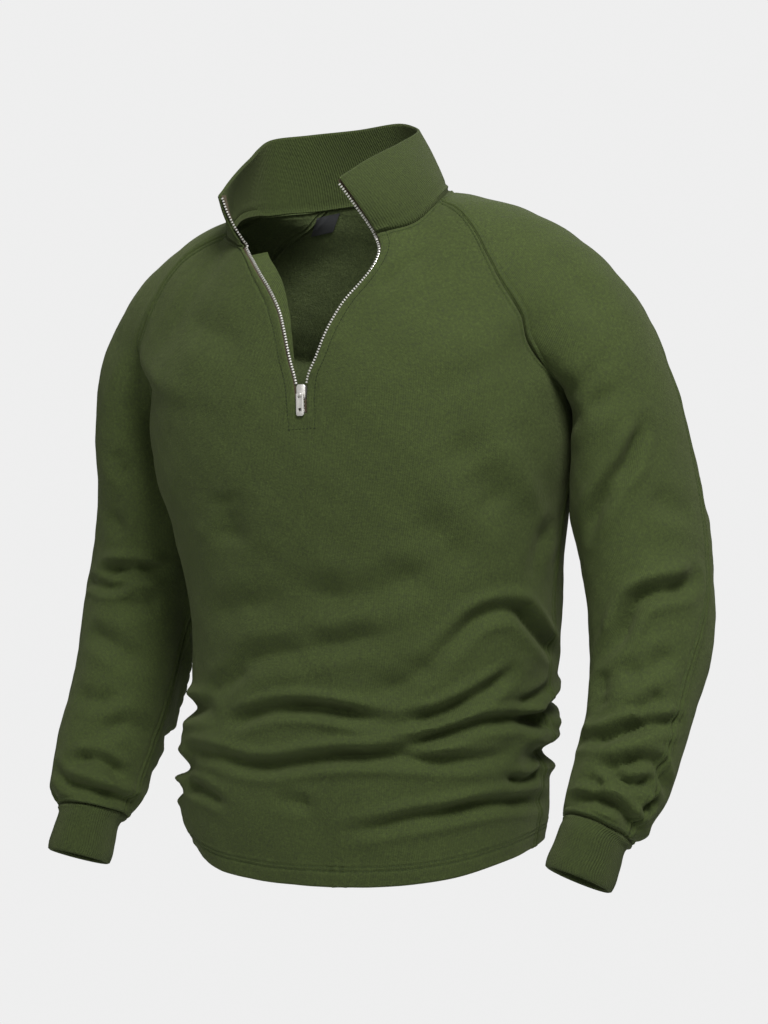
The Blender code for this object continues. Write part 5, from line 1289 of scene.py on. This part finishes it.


# ---- making up ----
# Brushed cotton fleece in heathered olive: a fine knit face with loose fibre on it, and a napped back, darker in
# itself; its colour here is set lighter than the face's, as painted light for the light that reaches the inside of
# the garment. The rib of collar and cuffs is the same yarn, knitted in narrow upright ribs.
FACE_COLOUR = (0.056, 0.078, 0.0235)
# The nap's colour is lighter than the cloth's own: painted light for the inside of the garment.
NAP_PAINTED_LIGHT_COLOUR = (0.096, 0.127, 0.050)
RIB_COLOUR = (0.053, 0.074, 0.0225)
SHEEN_COLOUR = (0.60, 0.66, 0.36)
FLECK_SIZE = 430.0
TONE_STRENGTH = 0.22


def add_node(tree, kind, inputs=None, **settings):
    """A node with its settings. Each of its inputs is linked to an output or takes a value."""
    made = tree.nodes.new(kind)
    for name, value in settings.items():
        setattr(made, name, value)
    fill_inputs(tree, made, inputs or {})
    return made


def fill_inputs(tree, node, inputs):
    for name, value in inputs.items():
        if isinstance(value, bpy.types.NodeSocket):
            tree.links.new(value, node.inputs[name])
        else:
            node.inputs[name].default_value = value


def group_tree(name, kind, inputs, outputs):
    """An empty node group with named inputs and outputs."""
    tree = bpy.data.node_groups.new(name, kind)
    for label, value in inputs.items():
        socket = "NodeSocketColor" if isinstance(value, tuple) else "NodeSocketFloat"
        tree.interface.new_socket(label, in_out="INPUT", socket_type=socket).default_value = value
    for label, socket in outputs.items():
        tree.interface.new_socket(label, in_out="OUTPUT", socket_type=socket)
    return tree, tree.nodes.new("NodeGroupInput").outputs, tree.nodes.new("NodeGroupOutput")


def math_node(tree, operation, *values):
    return add_node(tree, "ShaderNodeMath", dict(enumerate(values)), operation=operation).outputs[0]


def noise_node(tree, place, scale, detail, roughness):
    inputs = {"Vector": place, "Scale": scale, "Detail": detail, "Roughness": roughness}
    return add_node(tree, "ShaderNodeTexNoise", inputs).outputs["Fac"]


def yarn_colour_group():
    """Heathered yarn: light and dark fibres in fine flecks, over slow changes of tone."""
    tree, given, result = group_tree(
        "yarn colour",
        "ShaderNodeTree",
        {"Colour": (0.05, 0.08, 0.03, 1), "Fleck size": 700.0, "Fleck strength": 0.5, "Tone strength": 0.2},
        {"Colour": "NodeSocketColor", "Value": "NodeSocketFloat"},
    )
    place = tree.nodes.new("ShaderNodeTexCoord").outputs["Object"]
    fleck = math_node(tree, "SUBTRACT", noise_node(tree, place, given["Fleck size"], 3.0, 0.65), 0.5)
    tone = math_node(tree, "SUBTRACT", noise_node(tree, place, 38.0, 3.0, 0.6), 0.5)
    fleck = math_node(tree, "MULTIPLY", fleck, given["Fleck strength"])
    tone = math_node(tree, "MULTIPLY", tone, given["Tone strength"])
    value = math_node(tree, "ADD", math_node(tree, "ADD", fleck, tone), 1.0)
    mixed = add_node(tree, "ShaderNodeVectorMath", {0: given["Colour"], "Scale": value}, operation="SCALE")
    fill_inputs(tree, result, {"Colour": mixed.outputs[0], "Value": value})
    return tree


def knit_height_group():
    """Height of a knit face: fine upright wales of stitches, with loose fibre standing over them."""
    tree, given, result = group_tree(
        "knit height",
        "ShaderNodeTree",
        {"Wales per metre": 600.0, "Courses per metre": 700.0, "Rib": 0.5, "Fibre": 1.0},
        {"Height": "NodeSocketFloat"},
    )
    cut = add_node(tree, "ShaderNodeUVMap", uv_map="cloth").outputs["UV"]
    across, along, _ = add_node(tree, "ShaderNodeSeparateXYZ", {0: cut}).outputs
    wales = math_node(tree, "MULTIPLY", across, given["Wales per metre"])
    courses = math_node(tree, "MULTIPLY", along, given["Courses per metre"])
    turn = 2 * math.pi
    upright = math_node(tree, "SINE", math_node(tree, "MULTIPLY", wales, turn))
    cross = math_node(tree, "SINE", math_node(tree, "MULTIPLY", courses, turn))
    loops = math_node(tree, "ADD", upright, math_node(tree, "MULTIPLY", cross, 0.4))
    loops = math_node(tree, "MULTIPLY", loops, given["Rib"])
    place = tree.nodes.new("ShaderNodeTexCoord").outputs["Object"]
    clump = math_node(tree, "MULTIPLY", noise_node(tree, place, 260.0, 2.0, 0.6), 0.8)
    fibre = math_node(tree, "ADD", noise_node(tree, place, 900.0, 3.0, 0.7), clump)
    fibre = math_node(tree, "MULTIPLY", fibre, given["Fibre"])
    fill_inputs(tree, result, {"Height": math_node(tree, "ADD", loops, fibre)})
    return tree


YARN_COLOUR = yarn_colour_group()
KNIT_HEIGHT = knit_height_group()


def new_material(name):
    material = bpy.data.materials.new(name)
    material.use_nodes = True
    return material, material.node_tree, material.node_tree.nodes["Principled BSDF"]


def knit_material(name, colour, fleck, rib, fibre, wales, courses, depth, roughness, sheen):
    """Cloth knitted or woven of one yarn, by the strength and gauge of its pattern."""
    material, tree, shader = new_material(name)
    yarn = add_node(tree, "ShaderNodeGroup", node_tree=YARN_COLOUR)
    fill_inputs(tree, yarn, {
        "Colour": (*colour, 1), "Fleck size": FLECK_SIZE, "Fleck strength": fleck, "Tone strength": TONE_STRENGTH,
    })
    knit = add_node(tree, "ShaderNodeGroup", node_tree=KNIT_HEIGHT)
    fill_inputs(tree, knit, {"Wales per metre": wales, "Courses per metre": courses, "Rib": rib, "Fibre": fibre})
    bump = add_node(tree, "ShaderNodeBump", {"Strength": 0.6, "Distance": depth, "Height": knit.outputs["Height"]})
    fill_inputs(tree, shader, {
        "Normal": bump.outputs["Normal"],
        "Base Color": yarn.outputs["Colour"],
        "Roughness": math_node(tree, "MULTIPLY", yarn.outputs["Value"], roughness),
        "Specular IOR Level": 0.25,
        "Sheen Weight": sheen,
        "Sheen Roughness": 0.45,
        "Sheen Tint": (*SHEEN_COLOUR, 1),
    })
    return material


# Name, colour, strength of flecks, rib and fibre, wales and courses, depth, roughness, sheen.
fleece_face = knit_material("fleece face", FACE_COLOUR, 1.5, 0.18, 1.0, 640, 760, 0.0010, 0.93, 0.12)
# The nap's lighter colour is painted light for the inside of the garment.
fleece_nap_painted_light = knit_material("fleece nap", NAP_PAINTED_LIGHT_COLOUR, 1.6, 0.05, 1.8, 640, 760, 0.0016, 0.96, 0.10)
rib_face = knit_material("rib knit", RIB_COLOUR, 1.2, 0.9, 0.7, 400, 800, 0.0010, 0.92, 0.12)


def fasten(made, body, node):
    """Rides on a body of the model and takes the place of its node, if it has one."""
    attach(made, body)
    if node:
        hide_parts(node)
    return made


for piece in (front, back):
    fasten(cloth_wall(piece, torso_thickness, fleece_face, fleece_nap_painted_light), "garment", piece.name)
for piece in sleeves.values():
    fasten(cloth_wall(piece, FLEECE, fleece_face, fleece_nap_painted_light), "garment", piece.name)
for piece in (collar, *cuffs.values()):
    wall = COLLAR_WALL if piece is collar else CUFF_WALL
    fasten(cloth_wall(piece, wall, rib_face, rib_face), "garment", piece.name)


# ---- zip ----
# A metal zip on woven taupe tape, sewn behind the folded edges of the front and up the collar. Its teeth
# clamp the tape's edge; a slider, closed teeth and a bottom stop end it. A facing backs the right edge.
ZIP_TAPE = 0.0008           # thickness of the tape
TAPE_SHOWS = 0.0014         # beyond the cloth's edge
TAPE_SHOWS_BELOW = 0.0036   # the same below the slider, where the two tapes meet
TAPE_ACROSS = (-0.0065, -0.0035, -0.0008, 0.0, 0.5, 1.0)    # metres under the cloth, then shares of what shows
TEETH_WIDTH = 0.0023
TEETH_DEPTH = 0.0022
TEETH_SPACING = 0.0026
TOOTH_SET = 0.003           # beyond the tape's edge, to find which way a tooth points
LAYER_GAP = 0.0004          # between the layers sewn behind one another
COLLAR_STEP = 0.0012        # how much deeper the tape lies behind the thicker collar
SLIDER_TOP = -0.1705
SLIDER_FOOT = SLIDER_TOP - 0.0140
TAPE_MIDDLE = LAYER_GAP + ZIP_TAPE / 2
CLOSED_TEETH_END = -0.1925
TAPE_COLOUR = (0.120, 0.092, 0.062)
METAL_COLOUR = (0.93, 0.92, 0.89)
WORN_SHADE = 0.84           # of the metal's colour, in its worn patches
METAL_ROUGHNESS = 0.34
FACING = 0.0012             # thickness of the facing
FACING_UNDER = 0.0150       # how far it reaches under the front
FACING_LEAN = 0.5           # how far it falls back as it goes across
FACING_STEP = 0.0004        # further back where it passes the teeth
FACING_SLACK = 0.0050       # how far its sewn side hangs behind the front
COLLAR_BESIDE = {1: [3, 6, 9], -1: [-4, -7, -10]}   # columns beside the edge that show the way into the cloth
FRONT_BESIDE = [3, 6]
FACING_ROWS = (-0.0455, -0.1595, 70)    # top, foot and count
FACING_COLUMNS = ("height", "beyond")
FACING_WIDTHS = (
    (-0.037, 0.0180),
    (-0.067, 0.0160),
    (-0.103, 0.0090),
    (-0.140, 0.0050),
    (-0.160, 0.0030),
)


class ZipEdge:
    """The front edge of the cloth from the collar's top to the foot of the zip, on one side."""

    def __init__(self, side):
        edge = 0 if side > 0 else -1
        stations = []
        rows = collar.grids[0]
        last = len(rows) - 1
        for row in range(last, -1, -1):
            beside = rows[row, COLLAR_BESIDE[side]]
            stations.append((collar, rows[row, edge], beside, COLLAR_ROWS * (1 - row / last)))
        rows = front.grids[FRONT_HALF[side]]
        for row in range(1, ZIP_END_ROW + 1):
            stations.append((front, rows[row, 0], rows[row, FRONT_BESIDE], COLLAR_ROWS + TORSO_DOWN[row]))
        inner, ways, walls = [], [], []
        for cloth, at, beside, place in stations:
            wall = unit(cloth.outer[at] - cloth.inner[at])
            choices = [unit(cloth.inner[other] - cloth.inner[at]) for other in beside]
            ways.append(min(choices, key=lambda way: way @ wall))
            walls.append(wall)
            deeper = COLLAR_STEP * (1 - float(smooth_step(place, COLLAR_ROWS, COLLAR_ROWS + 4)))
            inner.append(cloth.inner[at] - wall * deeper)
        self.inner = self.even(np.array(inner), 1)
        along = unit(np.gradient(self.inner, axis=0))
        ways = self.even(np.array(ways), 4)
        self.under = unit(ways - along * dot(ways, along)[:, None])
        self.beyond = unit(self.even(self.under, 6))
        normals = unit(np.cross(along, self.under))
        outward = (dot(normals, np.array(walls)) > 0)[:, None]
        self.normals = unit(self.even(np.where(outward, normals, -normals), 3))
        self.heights = self.inner[:, 2]

    @staticmethod
    def even(values, rounds):
        for _ in range(rounds):
            padded = np.concatenate([values[:1], values, values[-1:]])
            values = (padded[:-2] + 2 * padded[1:-1] + padded[2:]) / 4
        return values

    def read(self, values, heights):
        order = np.argsort(self.heights)
        return read_points(heights, self.heights[order], values[order])

    def line(self, heights, across, depth):
        """Points across from the cloth's edge, positive beyond it, and at a depth behind the cloth."""
        across = np.asarray(across) + 0 * heights
        depth = np.asarray(depth) + 0 * heights
        at = self.read(self.inner, heights)
        under = np.where((across > 0)[:, None], self.read(self.beyond, heights), self.read(self.under, heights))
        return at - under * across[:, None] - self.read(self.normals, heights) * depth[:, None]


def wall_between(name, outer, inner, material, flip):
    """A closed wall between two grids of points, with its own map across and along it."""
    rows, columns = outer.shape[:2]
    count = rows * columns
    faces = quads(np.arange(count).reshape(rows, columns), flip)
    starts, ends, _ = open_edges(faces, count)
    rim = np.stack([ends, starts, starts + count, ends + count], -1)
    return cloth_object(
        name,
        np.concatenate([outer.reshape(-1, 3), inner.reshape(-1, 3)]),
        np.concatenate([faces, faces[:, ::-1] + count, rim]).tolist(),
        np.tile(np.stack([run_length(outer, 1), run_length(outer)], -1).reshape(-1, 2), (2, 1)),
        50,
        (material,),
    )


def layer(name, edge, heights, lines, thickness, material, flip):
    """A wall behind one zip edge, along lines of places across it and depths behind it."""
    outer = np.stack([edge.line(heights, across, depth) for across, depth in lines], axis=1)
    inner = np.stack([edge.line(heights, across, depth + thickness) for across, depth in lines], axis=1)
    return wall_between(name, outer, inner, material, flip)


def metal_material(name, colour):
    """Nickel-plated brass with fine tumbling marks and a slightly darker, worn tone in patches."""
    material, tree, shader = new_material(name)
    place = tree.nodes.new("ShaderNodeTexCoord").outputs["Object"]
    grain = noise_node(tree, place, 900.0, 4.0, 0.6)
    patch = noise_node(tree, place, 260.0, 2.0, 0.5)
    worn = (*[WORN_SHADE * part for part in colour], 1)
    tone = add_node(tree, "ShaderNodeMix", {"Factor": patch, "A": worn, "B": (*colour, 1)}, data_type="RGBA")
    bump = add_node(tree, "ShaderNodeBump", {"Strength": 0.25, "Distance": 0.0001, "Height": grain})
    fill_inputs(tree, shader, {
        "Base Color": tone.outputs["Result"],
        "Roughness": math_node(tree, "MULTIPLY_ADD", grain, 0.22, METAL_ROUGHNESS - 0.1),
        "Metallic": 0.72,
        "Normal": bump.outputs["Normal"],
    })
    return material


tape_weave = knit_material("zip tape weave", TAPE_COLOUR, 0.35, 1.0, 0.25, 1100, 1300, 0.0003, 0.82, 0.08)
zip_metal = metal_material("zip metal", METAL_COLOUR)
ZIP_SIDES = {side: ZipEdge(side) for side in SIDES}
for side, edge in ZIP_SIDES.items():
    heights = np.concatenate([
        np.linspace(edge.heights[0], SLIDER_FOOT + 0.001, 90),
        np.linspace(SLIDER_FOOT - 0.0004, edge.heights[-1] + 0.0004, 8),
    ])
    shows = np.where(heights < SLIDER_FOOT, TAPE_SHOWS_BELOW, TAPE_SHOWS)
    lines = [(place * shows if place > 0 else place, LAYER_GAP) for place in TAPE_ACROSS]
    tape = layer(f"zip_tape_{SIDES[side]}", edge, heights, lines, ZIP_TAPE, tape_weave, side < 0)
    fasten(tape, "garment", f"zip_tape_{SIDES[side]}")


def path_mesh(name, paths, across):
    """Rows of points as edges, with a way across at each for what is set along them."""
    points, edges, ways = [], [], []
    for number, path in enumerate(paths):
        start = len(points)
        points += [tuple(point) for point in path]
        edges += [(start + step, start + step + 1) for step in range(len(path) - 1)]
        ways += [tuple(way) for way in across[number]] if across else [(1.0, 0.0, 0.0)] * len(path)
    mesh = bpy.data.meshes.new(name)
    mesh.from_pydata(points, edges, [])
    ways = np.array(ways, np.float32).ravel()
    mesh.attributes.new("across", "FLOAT_VECTOR", "POINT").data.foreach_set("vector", ways)
    return add_object(name, mesh)


def set_along_tree(name, shape, inputs, smooth):
    """Sets one small shape at even spacing along paths: its long side across them or along them."""
    tree = bpy.data.node_groups.new(name, "GeometryNodeTree")
    tree.interface.new_socket("Geometry", in_out="INPUT", socket_type="NodeSocketGeometry")
    for label in ("Spacing", "Width", "Height", "Depth"):
        tree.interface.new_socket(label, in_out="INPUT", socket_type="NodeSocketFloat")
    tree.interface.new_socket("Finish", in_out="INPUT", socket_type="NodeSocketMaterial")
    tree.interface.new_socket("Geometry", in_out="OUTPUT", socket_type="NodeSocketGeometry")
    given = tree.nodes.new("NodeGroupInput").outputs

    def made(kind, inputs, **settings):
        return add_node(tree, kind, inputs, **settings).outputs

    curve = made("GeometryNodeMeshToCurve", {"Mesh": given["Geometry"]})["Curve"]
    points = made("GeometryNodeCurveToPoints", {"Curve": curve, "Length": given["Spacing"]}, mode="LENGTH")
    way = made("GeometryNodeInputNamedAttribute", {"Name": "across"}, data_type="FLOAT_VECTOR")["Attribute"]
    upright = made("FunctionNodeAlignRotationToVector", {"Vector": points["Tangent"]}, axis="Z")["Rotation"]
    sideways = made(
        "FunctionNodeAlignRotationToVector", {"Rotation": upright, "Vector": way}, axis="X", pivot_axis="Z"
    )["Rotation"]
    size = made("ShaderNodeCombineXYZ", {"X": given["Width"], "Y": given["Depth"], "Z": given["Height"]})["Vector"]
    mesh = made(shape, inputs)["Mesh"]
    mesh = made("GeometryNodeSetShadeSmooth", {"Geometry": mesh, "Shade Smooth": smooth})["Geometry"]
    placed = made("GeometryNodeInstanceOnPoints", {
        "Points": points["Points"], "Instance": mesh, "Rotation": sideways, "Scale": size,
    })["Instances"]
    real = made("GeometryNodeRealizeInstances", {"Geometry": placed})["Geometry"]
    finish = made("GeometryNodeSetMaterial", {"Geometry": real, "Material": given["Finish"]})["Geometry"]
    add_node(tree, "NodeGroupOutput", {"Geometry": finish})
    return tree


def set_along(name, node, paths, tree, sizes, finish, across=None):
    """Runs the tree over the paths and keeps the result as a plain mesh."""
    made = path_mesh(name, paths, across)
    modifier = made.modifiers.new("set", "NODES")
    modifier.node_group = tree
    given = {**sizes, "Finish": finish}
    for item in tree.interface.items_tree:
        if item.in_out == "INPUT" and item.name in given:
            modifier[item.identifier] = given[item.name]
    ready = made.evaluated_get(bpy.context.evaluated_depsgraph_get())
    mesh = bpy.data.meshes.new_from_object(ready)
    made.modifiers.clear()
    old = made.data
    made.data = mesh
    bpy.data.meshes.remove(old)
    mesh.materials.clear()
    mesh.materials.append(finish)
    return fasten(made, "garment", node)


TOOTH_SHAPE = {"Vertices": 10, "Radius": 0.5, "Depth": 1.0}
TOOTH_TREE = set_along_tree("zip teeth", "GeometryNodeMeshCylinder", TOOTH_SHAPE, False)
TOOTH = {"Spacing": TEETH_SPACING, "Width": 0.0030, "Height": 0.0013, "Depth": TEETH_DEPTH}
for side, edge in ZIP_SIDES.items():
    name = f"teeth_{SIDES[side]}"
    heights = np.linspace(edge.heights[0] - 0.003, SLIDER_TOP + 0.001, 140)
    centre = edge.line(heights, TAPE_SHOWS + TEETH_WIDTH / 2, TAPE_MIDDLE)
    outward = edge.line(heights, TAPE_SHOWS + TOOTH_SET, TAPE_MIDDLE) - edge.line(heights, TAPE_SHOWS, TAPE_MIDDLE)
    set_along(name, f"zip_{name}", [centre], TOOTH_TREE, TOOTH, zip_metal, [unit(outward)])
closed = []
closed_ways = []
heights = np.linspace(SLIDER_FOOT - 0.0008, CLOSED_TEETH_END + 0.0006, 14)
middle = (ZIP_SIDES[1].line(heights, 0.0, TAPE_MIDDLE) + ZIP_SIDES[-1].line(heights, 0.0, TAPE_MIDDLE)) / 2
for side in SIDES:
    shift = TEETH_SPACING / 4 * side * unit(middle[0] - middle[-1])
    closed.append(middle + np.array([side * 0.0011, 0, 0]) + shift)
    closed_ways.append(np.tile(np.array([float(side), 0, 0]), (len(middle), 1)))
set_along("teeth_closed", "zip_teeth_closed", closed, TOOTH_TREE, TOOTH, zip_metal, closed_ways)


def rounded_copy(node, name, width, body):
    """The node's own shape with its edges rounded."""
    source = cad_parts[node]
    shape = bmesh.new()
    shape.from_mesh(source.data)
    shape.transform(source.matrix_world)
    bmesh.ops.remove_doubles(shape, verts=shape.verts, dist=1e-6)
    bmesh.ops.dissolve_limit(shape, angle_limit=math.radians(2), verts=shape.verts, edges=shape.edges)
    inner = [edge for edge in shape.edges if len(edge.link_faces) == 2]
    sharp = [edge for edge in inner if edge.calc_face_angle(0) > math.radians(28)]
    bmesh.ops.bevel(shape, geom=sharp, offset=width, segments=2, profile=0.6, affect="EDGES", clamp_overlap=True)
    mesh = bpy.data.meshes.new(name)
    shape.to_mesh(mesh)
    shape.free()
    mesh.materials.clear()
    mesh.materials.append(zip_metal)
    mesh.shade_smooth()
    mesh.set_sharp_from_angle(angle=math.radians(40))
    return fasten(add_object(name, mesh), body, node)


rounded_copy("slider", "slider_body", 0.0006, "garment")
rounded_copy("zip_bottom_stop", "bottom_stop", 0.0005, "garment")
rounded_copy("pull_tab", "tab", 0.0003, "pull_tab")

# The facing: its sewn side lies under the front, the rest falls back behind the open teeth.
facing_depth = LAYER_GAP * 2 + ZIP_TAPE
heights = np.linspace(*FACING_ROWS)
beyond = read_table(FACING_WIDTHS, FACING_COLUMNS, "beyond", heights)
facing_lines = []
for part in (1, 0.6, 0.25):
    facing_lines.append((-FACING_UNDER * part, facing_depth + FACING_SLACK * part ** 2))
for part in (0, 0.3, 0.6, 0.85, 1.0):
    facing_lines.append((beyond * part, facing_depth + FACING_STEP + FACING_LEAN * beyond * part))
facing = layer("facing_right", ZIP_SIDES[-1], heights, facing_lines, FACING, fleece_face, True)
fasten(facing, "garment", "zip_facing_right")


# ---- topstitching ----
# Olive thread in stitches 2.9 mm long: two rows round the hem, one row on each side of the raglan seams, one
# beside the neck, cuff and elbow seams, and a stitched frame round the zip's placket. The frame's thread is darker
# and wider than the rest: painted shade of the groove that its stitching sinks into the cloth.
THREAD_COLOUR = (0.040, 0.062, 0.022)
# The frame's darker thread is painted shade of its sunk groove, over the real stitching.
FRAME_PAINTED_SHADE_COLOUR = (0.020, 0.032, 0.011)
STITCH = {"Spacing": 0.0036, "Width": 0.00055, "Height": 0.0029, "Depth": 0.00055}
FRAME_STITCH = {**STITCH, "Spacing": 0.0032, "Width": 0.0009}
STITCH_LIFT = 0.00005       # above the cloth
STITCH_PLACE = 0.006        # from a seam
RAGLAN_END = 0.93           # of the raglan seam, where its stitching ends under the arm
FRAME_FOOT = -0.0135        # foot of the placket's frame, below the zip's end
FRAME_FLARE = 0.001
thread = knit_material("thread", THREAD_COLOUR, 0.2, 0.0, 0.3, 600, 600, 0.0001, 0.6, 0.1)
frame_thread_painted_shade = knit_material("frame thread", FRAME_PAINTED_SHADE_COLOUR, 0.2, 0.0, 0.3, 600, 600, 0.0001, 0.6, 0.1)
STITCH_SHAPE = {"Segments": 6, "Rings": 4, "Radius": 0.5}
STITCH_TREE = set_along_tree("stitches", "GeometryNodeMeshUVSphere", STITCH_SHAPE, True)


def beside(cloth, number, side, distance=STITCH_PLACE, last=1.0):
    """A path on the cloth's face at an even distance from one edge of its grid, to a share of its length."""
    index = cloth.grids[number]
    away = edge_distance(cloth.outer[index], side)
    if side in ("top", "bottom"):
        index, away = index.T, away.T
    if side in ("last", "bottom"):
        index, away = index[:, ::-1], away[:, ::-1]
    path = []
    for row in range(int(last * (len(index) - 1)) + 1):
        step = int(np.clip(np.searchsorted(away[row], distance) - 1, 0, len(away[row]) - 2))
        part = (distance - away[row, step]) / max(away[row, step + 1] - away[row, step], 1e-9)
        start, end = index[row, step], index[row, step + 1]
        at = cloth.outer[start] * (1 - part) + cloth.outer[end] * part
        path.append(at + unit(cloth.normals[start] + cloth.normals[end]) * STITCH_LIFT)
    return np.array(path)


yoke = RAGLAN_END * (UNDERARM_ROW / (len(TORSO_DOWN) - 1))
sleeve_yoke = RAGLAN_END * (UNDERARM_ROW / (len(SLEEVE_DOWN) - 1))
raglan, elbows, hem, neck, wrists = [], [], [], [], []
for side, number in FRONT_HALF.items():
    fore, rear = sleeves[side, "front"], sleeves[side, "back"]
    raglan.append(beside(front, number, "last", last=yoke))
    raglan.append(beside(fore, 0, "first", last=sleeve_yoke))
    raglan.append(beside(back, 0, "first" if side > 0 else "last", last=yoke))
    raglan.append(beside(rear, 0, "last", last=sleeve_yoke))
    elbows.append(beside(fore, 0, "last"))
    for cloth in (fore, rear):
        neck.append(beside(cloth, 0, "top"))
        wrists.append(beside(cloth, 0, "bottom"))
    neck.append(beside(front, number, "top"))
    for place in HEM_STITCHES:
        hem.append(beside(front, number, "bottom", place))
neck.append(beside(back, 0, "top"))
for place in HEM_STITCHES:
    hem.append(beside(back, 0, "bottom", place))
    hem.append(beside(front, 0, "bottom", place))

zip_share = ZIP_END_ROW / (len(TORSO_DOWN) - 1)
frame_paths = [beside(front, number, "first", PLACKET, zip_share) for number in FRONT_HALF.values()]
front_tree = BVHTree.FromPolygons(front.outer.tolist(), front.faces.tolist())
left_end, right_end = frame_paths[0][-1], frame_paths[1][-1]
left_foot = left_end + np.array([-FRAME_FLARE, 0, FRAME_FOOT])
right_foot = right_end + np.array([FRAME_FLARE, 0, FRAME_FOOT])
for start, end in ((left_end, left_foot), (left_foot, right_foot), (right_foot, right_end)):
    places = [Vector(start + (end - start) * part) for part in np.linspace(0, 1, 9)]
    frame_paths.append(np.array([front_tree.find_nearest(place)[0] for place in places]))
for name, paths in (
    ("raglan_stitches", raglan), ("elbow_stitches", elbows), ("hem_stitches", hem), ("neck_stitches", neck),
    ("cuff_stitches", wrists),
):
    set_along(name, None, paths, STITCH_TREE, STITCH, thread)
# The placket's frame, in thread darkened and widened as painted shade of its groove.
set_along("placket_stitches", None, frame_paths, STITCH_TREE, FRAME_STITCH, frame_thread_painted_shade)


# ---- neck label ----
# A small woven satin label, folded under and sewn inside the back of the neck. It is plain charcoal.
LABEL_COLOUR = (0.058, 0.061, 0.066)
LABEL_THICKNESS = 0.0006
LABEL_CELLS = 8
LABEL_HANG = (0.0005, 0.0013)       # off the lining, at its top and its foot
LABEL_CORNERS = np.array(((317, 218), (340, 213), (311, 237), (333, 232)))
label_satin = knit_material("label satin", LABEL_COLOUR, 0.15, 0.6, 0.1, 2200, 900, 0.0001, 0.55, 0.05)
lining = [back, collar, sleeves[-1, "back"]]
lining_starts = np.cumsum([0] + [len(cloth.inner) for cloth in lining])
inside = BVHTree.FromPolygons(
    np.concatenate([cloth.inner for cloth in lining]).tolist(),
    np.concatenate([cloth.faces + start for cloth, start in zip(lining, lining_starts)]).tolist(),
)
shares = np.linspace(0, 1, LABEL_CELLS + 1)
inner = np.zeros((LABEL_CELLS + 1, LABEL_CELLS + 1, 3))
for row, down in enumerate(shares):
    for step, across in enumerate(shares):
        upper = LABEL_CORNERS[0] + (LABEL_CORNERS[1] - LABEL_CORNERS[0]) * across
        lower = LABEL_CORNERS[2] + (LABEL_CORNERS[3] - LABEL_CORNERS[2]) * across
        inner[row, step] = seen_on(inside, *(upper + (lower - upper) * down)) or (0, 0, 0)
towards = unit(VIEW_EYE - inner.reshape(-1, 3).mean(axis=0))
inner += towards * np.linspace(*LABEL_HANG, LABEL_CELLS + 1)[:, None, None]
label = wall_between("label", inner + towards * LABEL_THICKNESS, inner, label_satin, True)
fasten(label, "garment", "neck_label")


# ---- room ----
# A pale floor well below the hanging garment, a pale surround, and large soft lights from the upper right.
FLOOR_HEIGHT = -1.12
FLOOR_RADIUS = 0.95
FLOOR_CORNERS = 48
ROOM_SEEN = 1.0             # strength of the surround where the camera sees it
ROOM_LIGHT = 0.27           # and where it lights the garment
MIDDLE = (0.0, 0.0, -0.28)
LIGHTS = (                  # name, ahead, aside, height, target, size, power, colour
    ("key", -1.5, 0.55, 1.30, MIDDLE, 0.9, 44, (1.0, 0.985, 0.95)),
    ("fill", -1.9, -0.9, 0.5, (0.0, 0.0, -0.1), 1.2, 6.5, (1.0, 0.99, 0.96)),
    ("back", 1.5, 0.5, 1.2, MIDDLE, 1.4, 12, (1.0, 1.0, 1.0)),
)

floor_mesh = bpy.data.meshes.new("floor")
turns = [step * 2 * math.pi / FLOOR_CORNERS for step in range(FLOOR_CORNERS)]
ring = [(FLOOR_RADIUS * math.cos(turn), FLOOR_RADIUS * math.sin(turn), FLOOR_HEIGHT) for turn in turns]
floor_mesh.from_pydata(ring, [], [tuple(range(FLOOR_CORNERS))])
floor = add_object("floor", floor_mesh)
floor_paint, tree, shader = new_material("floor paint")
fill_inputs(tree, shader, {"Base Color": (0.78, 0.78, 0.78, 1), "Roughness": 0.9})
floor_mesh.materials.append(floor_paint)

world = bpy.data.worlds.new("surround")
bpy.context.scene.world = world
world.use_nodes = True
tree = world.node_tree
surround = tree.nodes["Background"]
fill_inputs(tree, surround, {"Color": (0.86, 0.86, 0.86, 1), "Strength": ROOM_SEEN})
dim = add_node(tree, "ShaderNodeBackground", {"Color": (1.0, 0.99, 0.96, 1), "Strength": ROOM_LIGHT})
seen = tree.nodes.new("ShaderNodeLightPath").outputs["Is Camera Ray"]
parts = {"Fac": seen, 1: dim.outputs["Background"], 2: surround.outputs["Background"]}
choose = add_node(tree, "ShaderNodeMixShader", parts)
fill_inputs(tree, tree.nodes["World Output"], {"Surface": choose.outputs["Shader"]})

for name, ahead, aside, height, target, size, power, colour in LIGHTS:
    data = bpy.data.lights.new(name, "AREA")
    data.shape = "DISK"
    data.size = size
    data.energy = power
    data.color = colour
    place = Vector([*(VIEW_AHEAD[:2] * ahead + VIEW_RIGHT[:2] * aside), height])
    turn = (Vector(target) - place).to_track_quat("-Z", "Y")
    add_object(name, data).matrix_world = Matrix.Translation(place) @ turn.to_matrix().to_4x4()
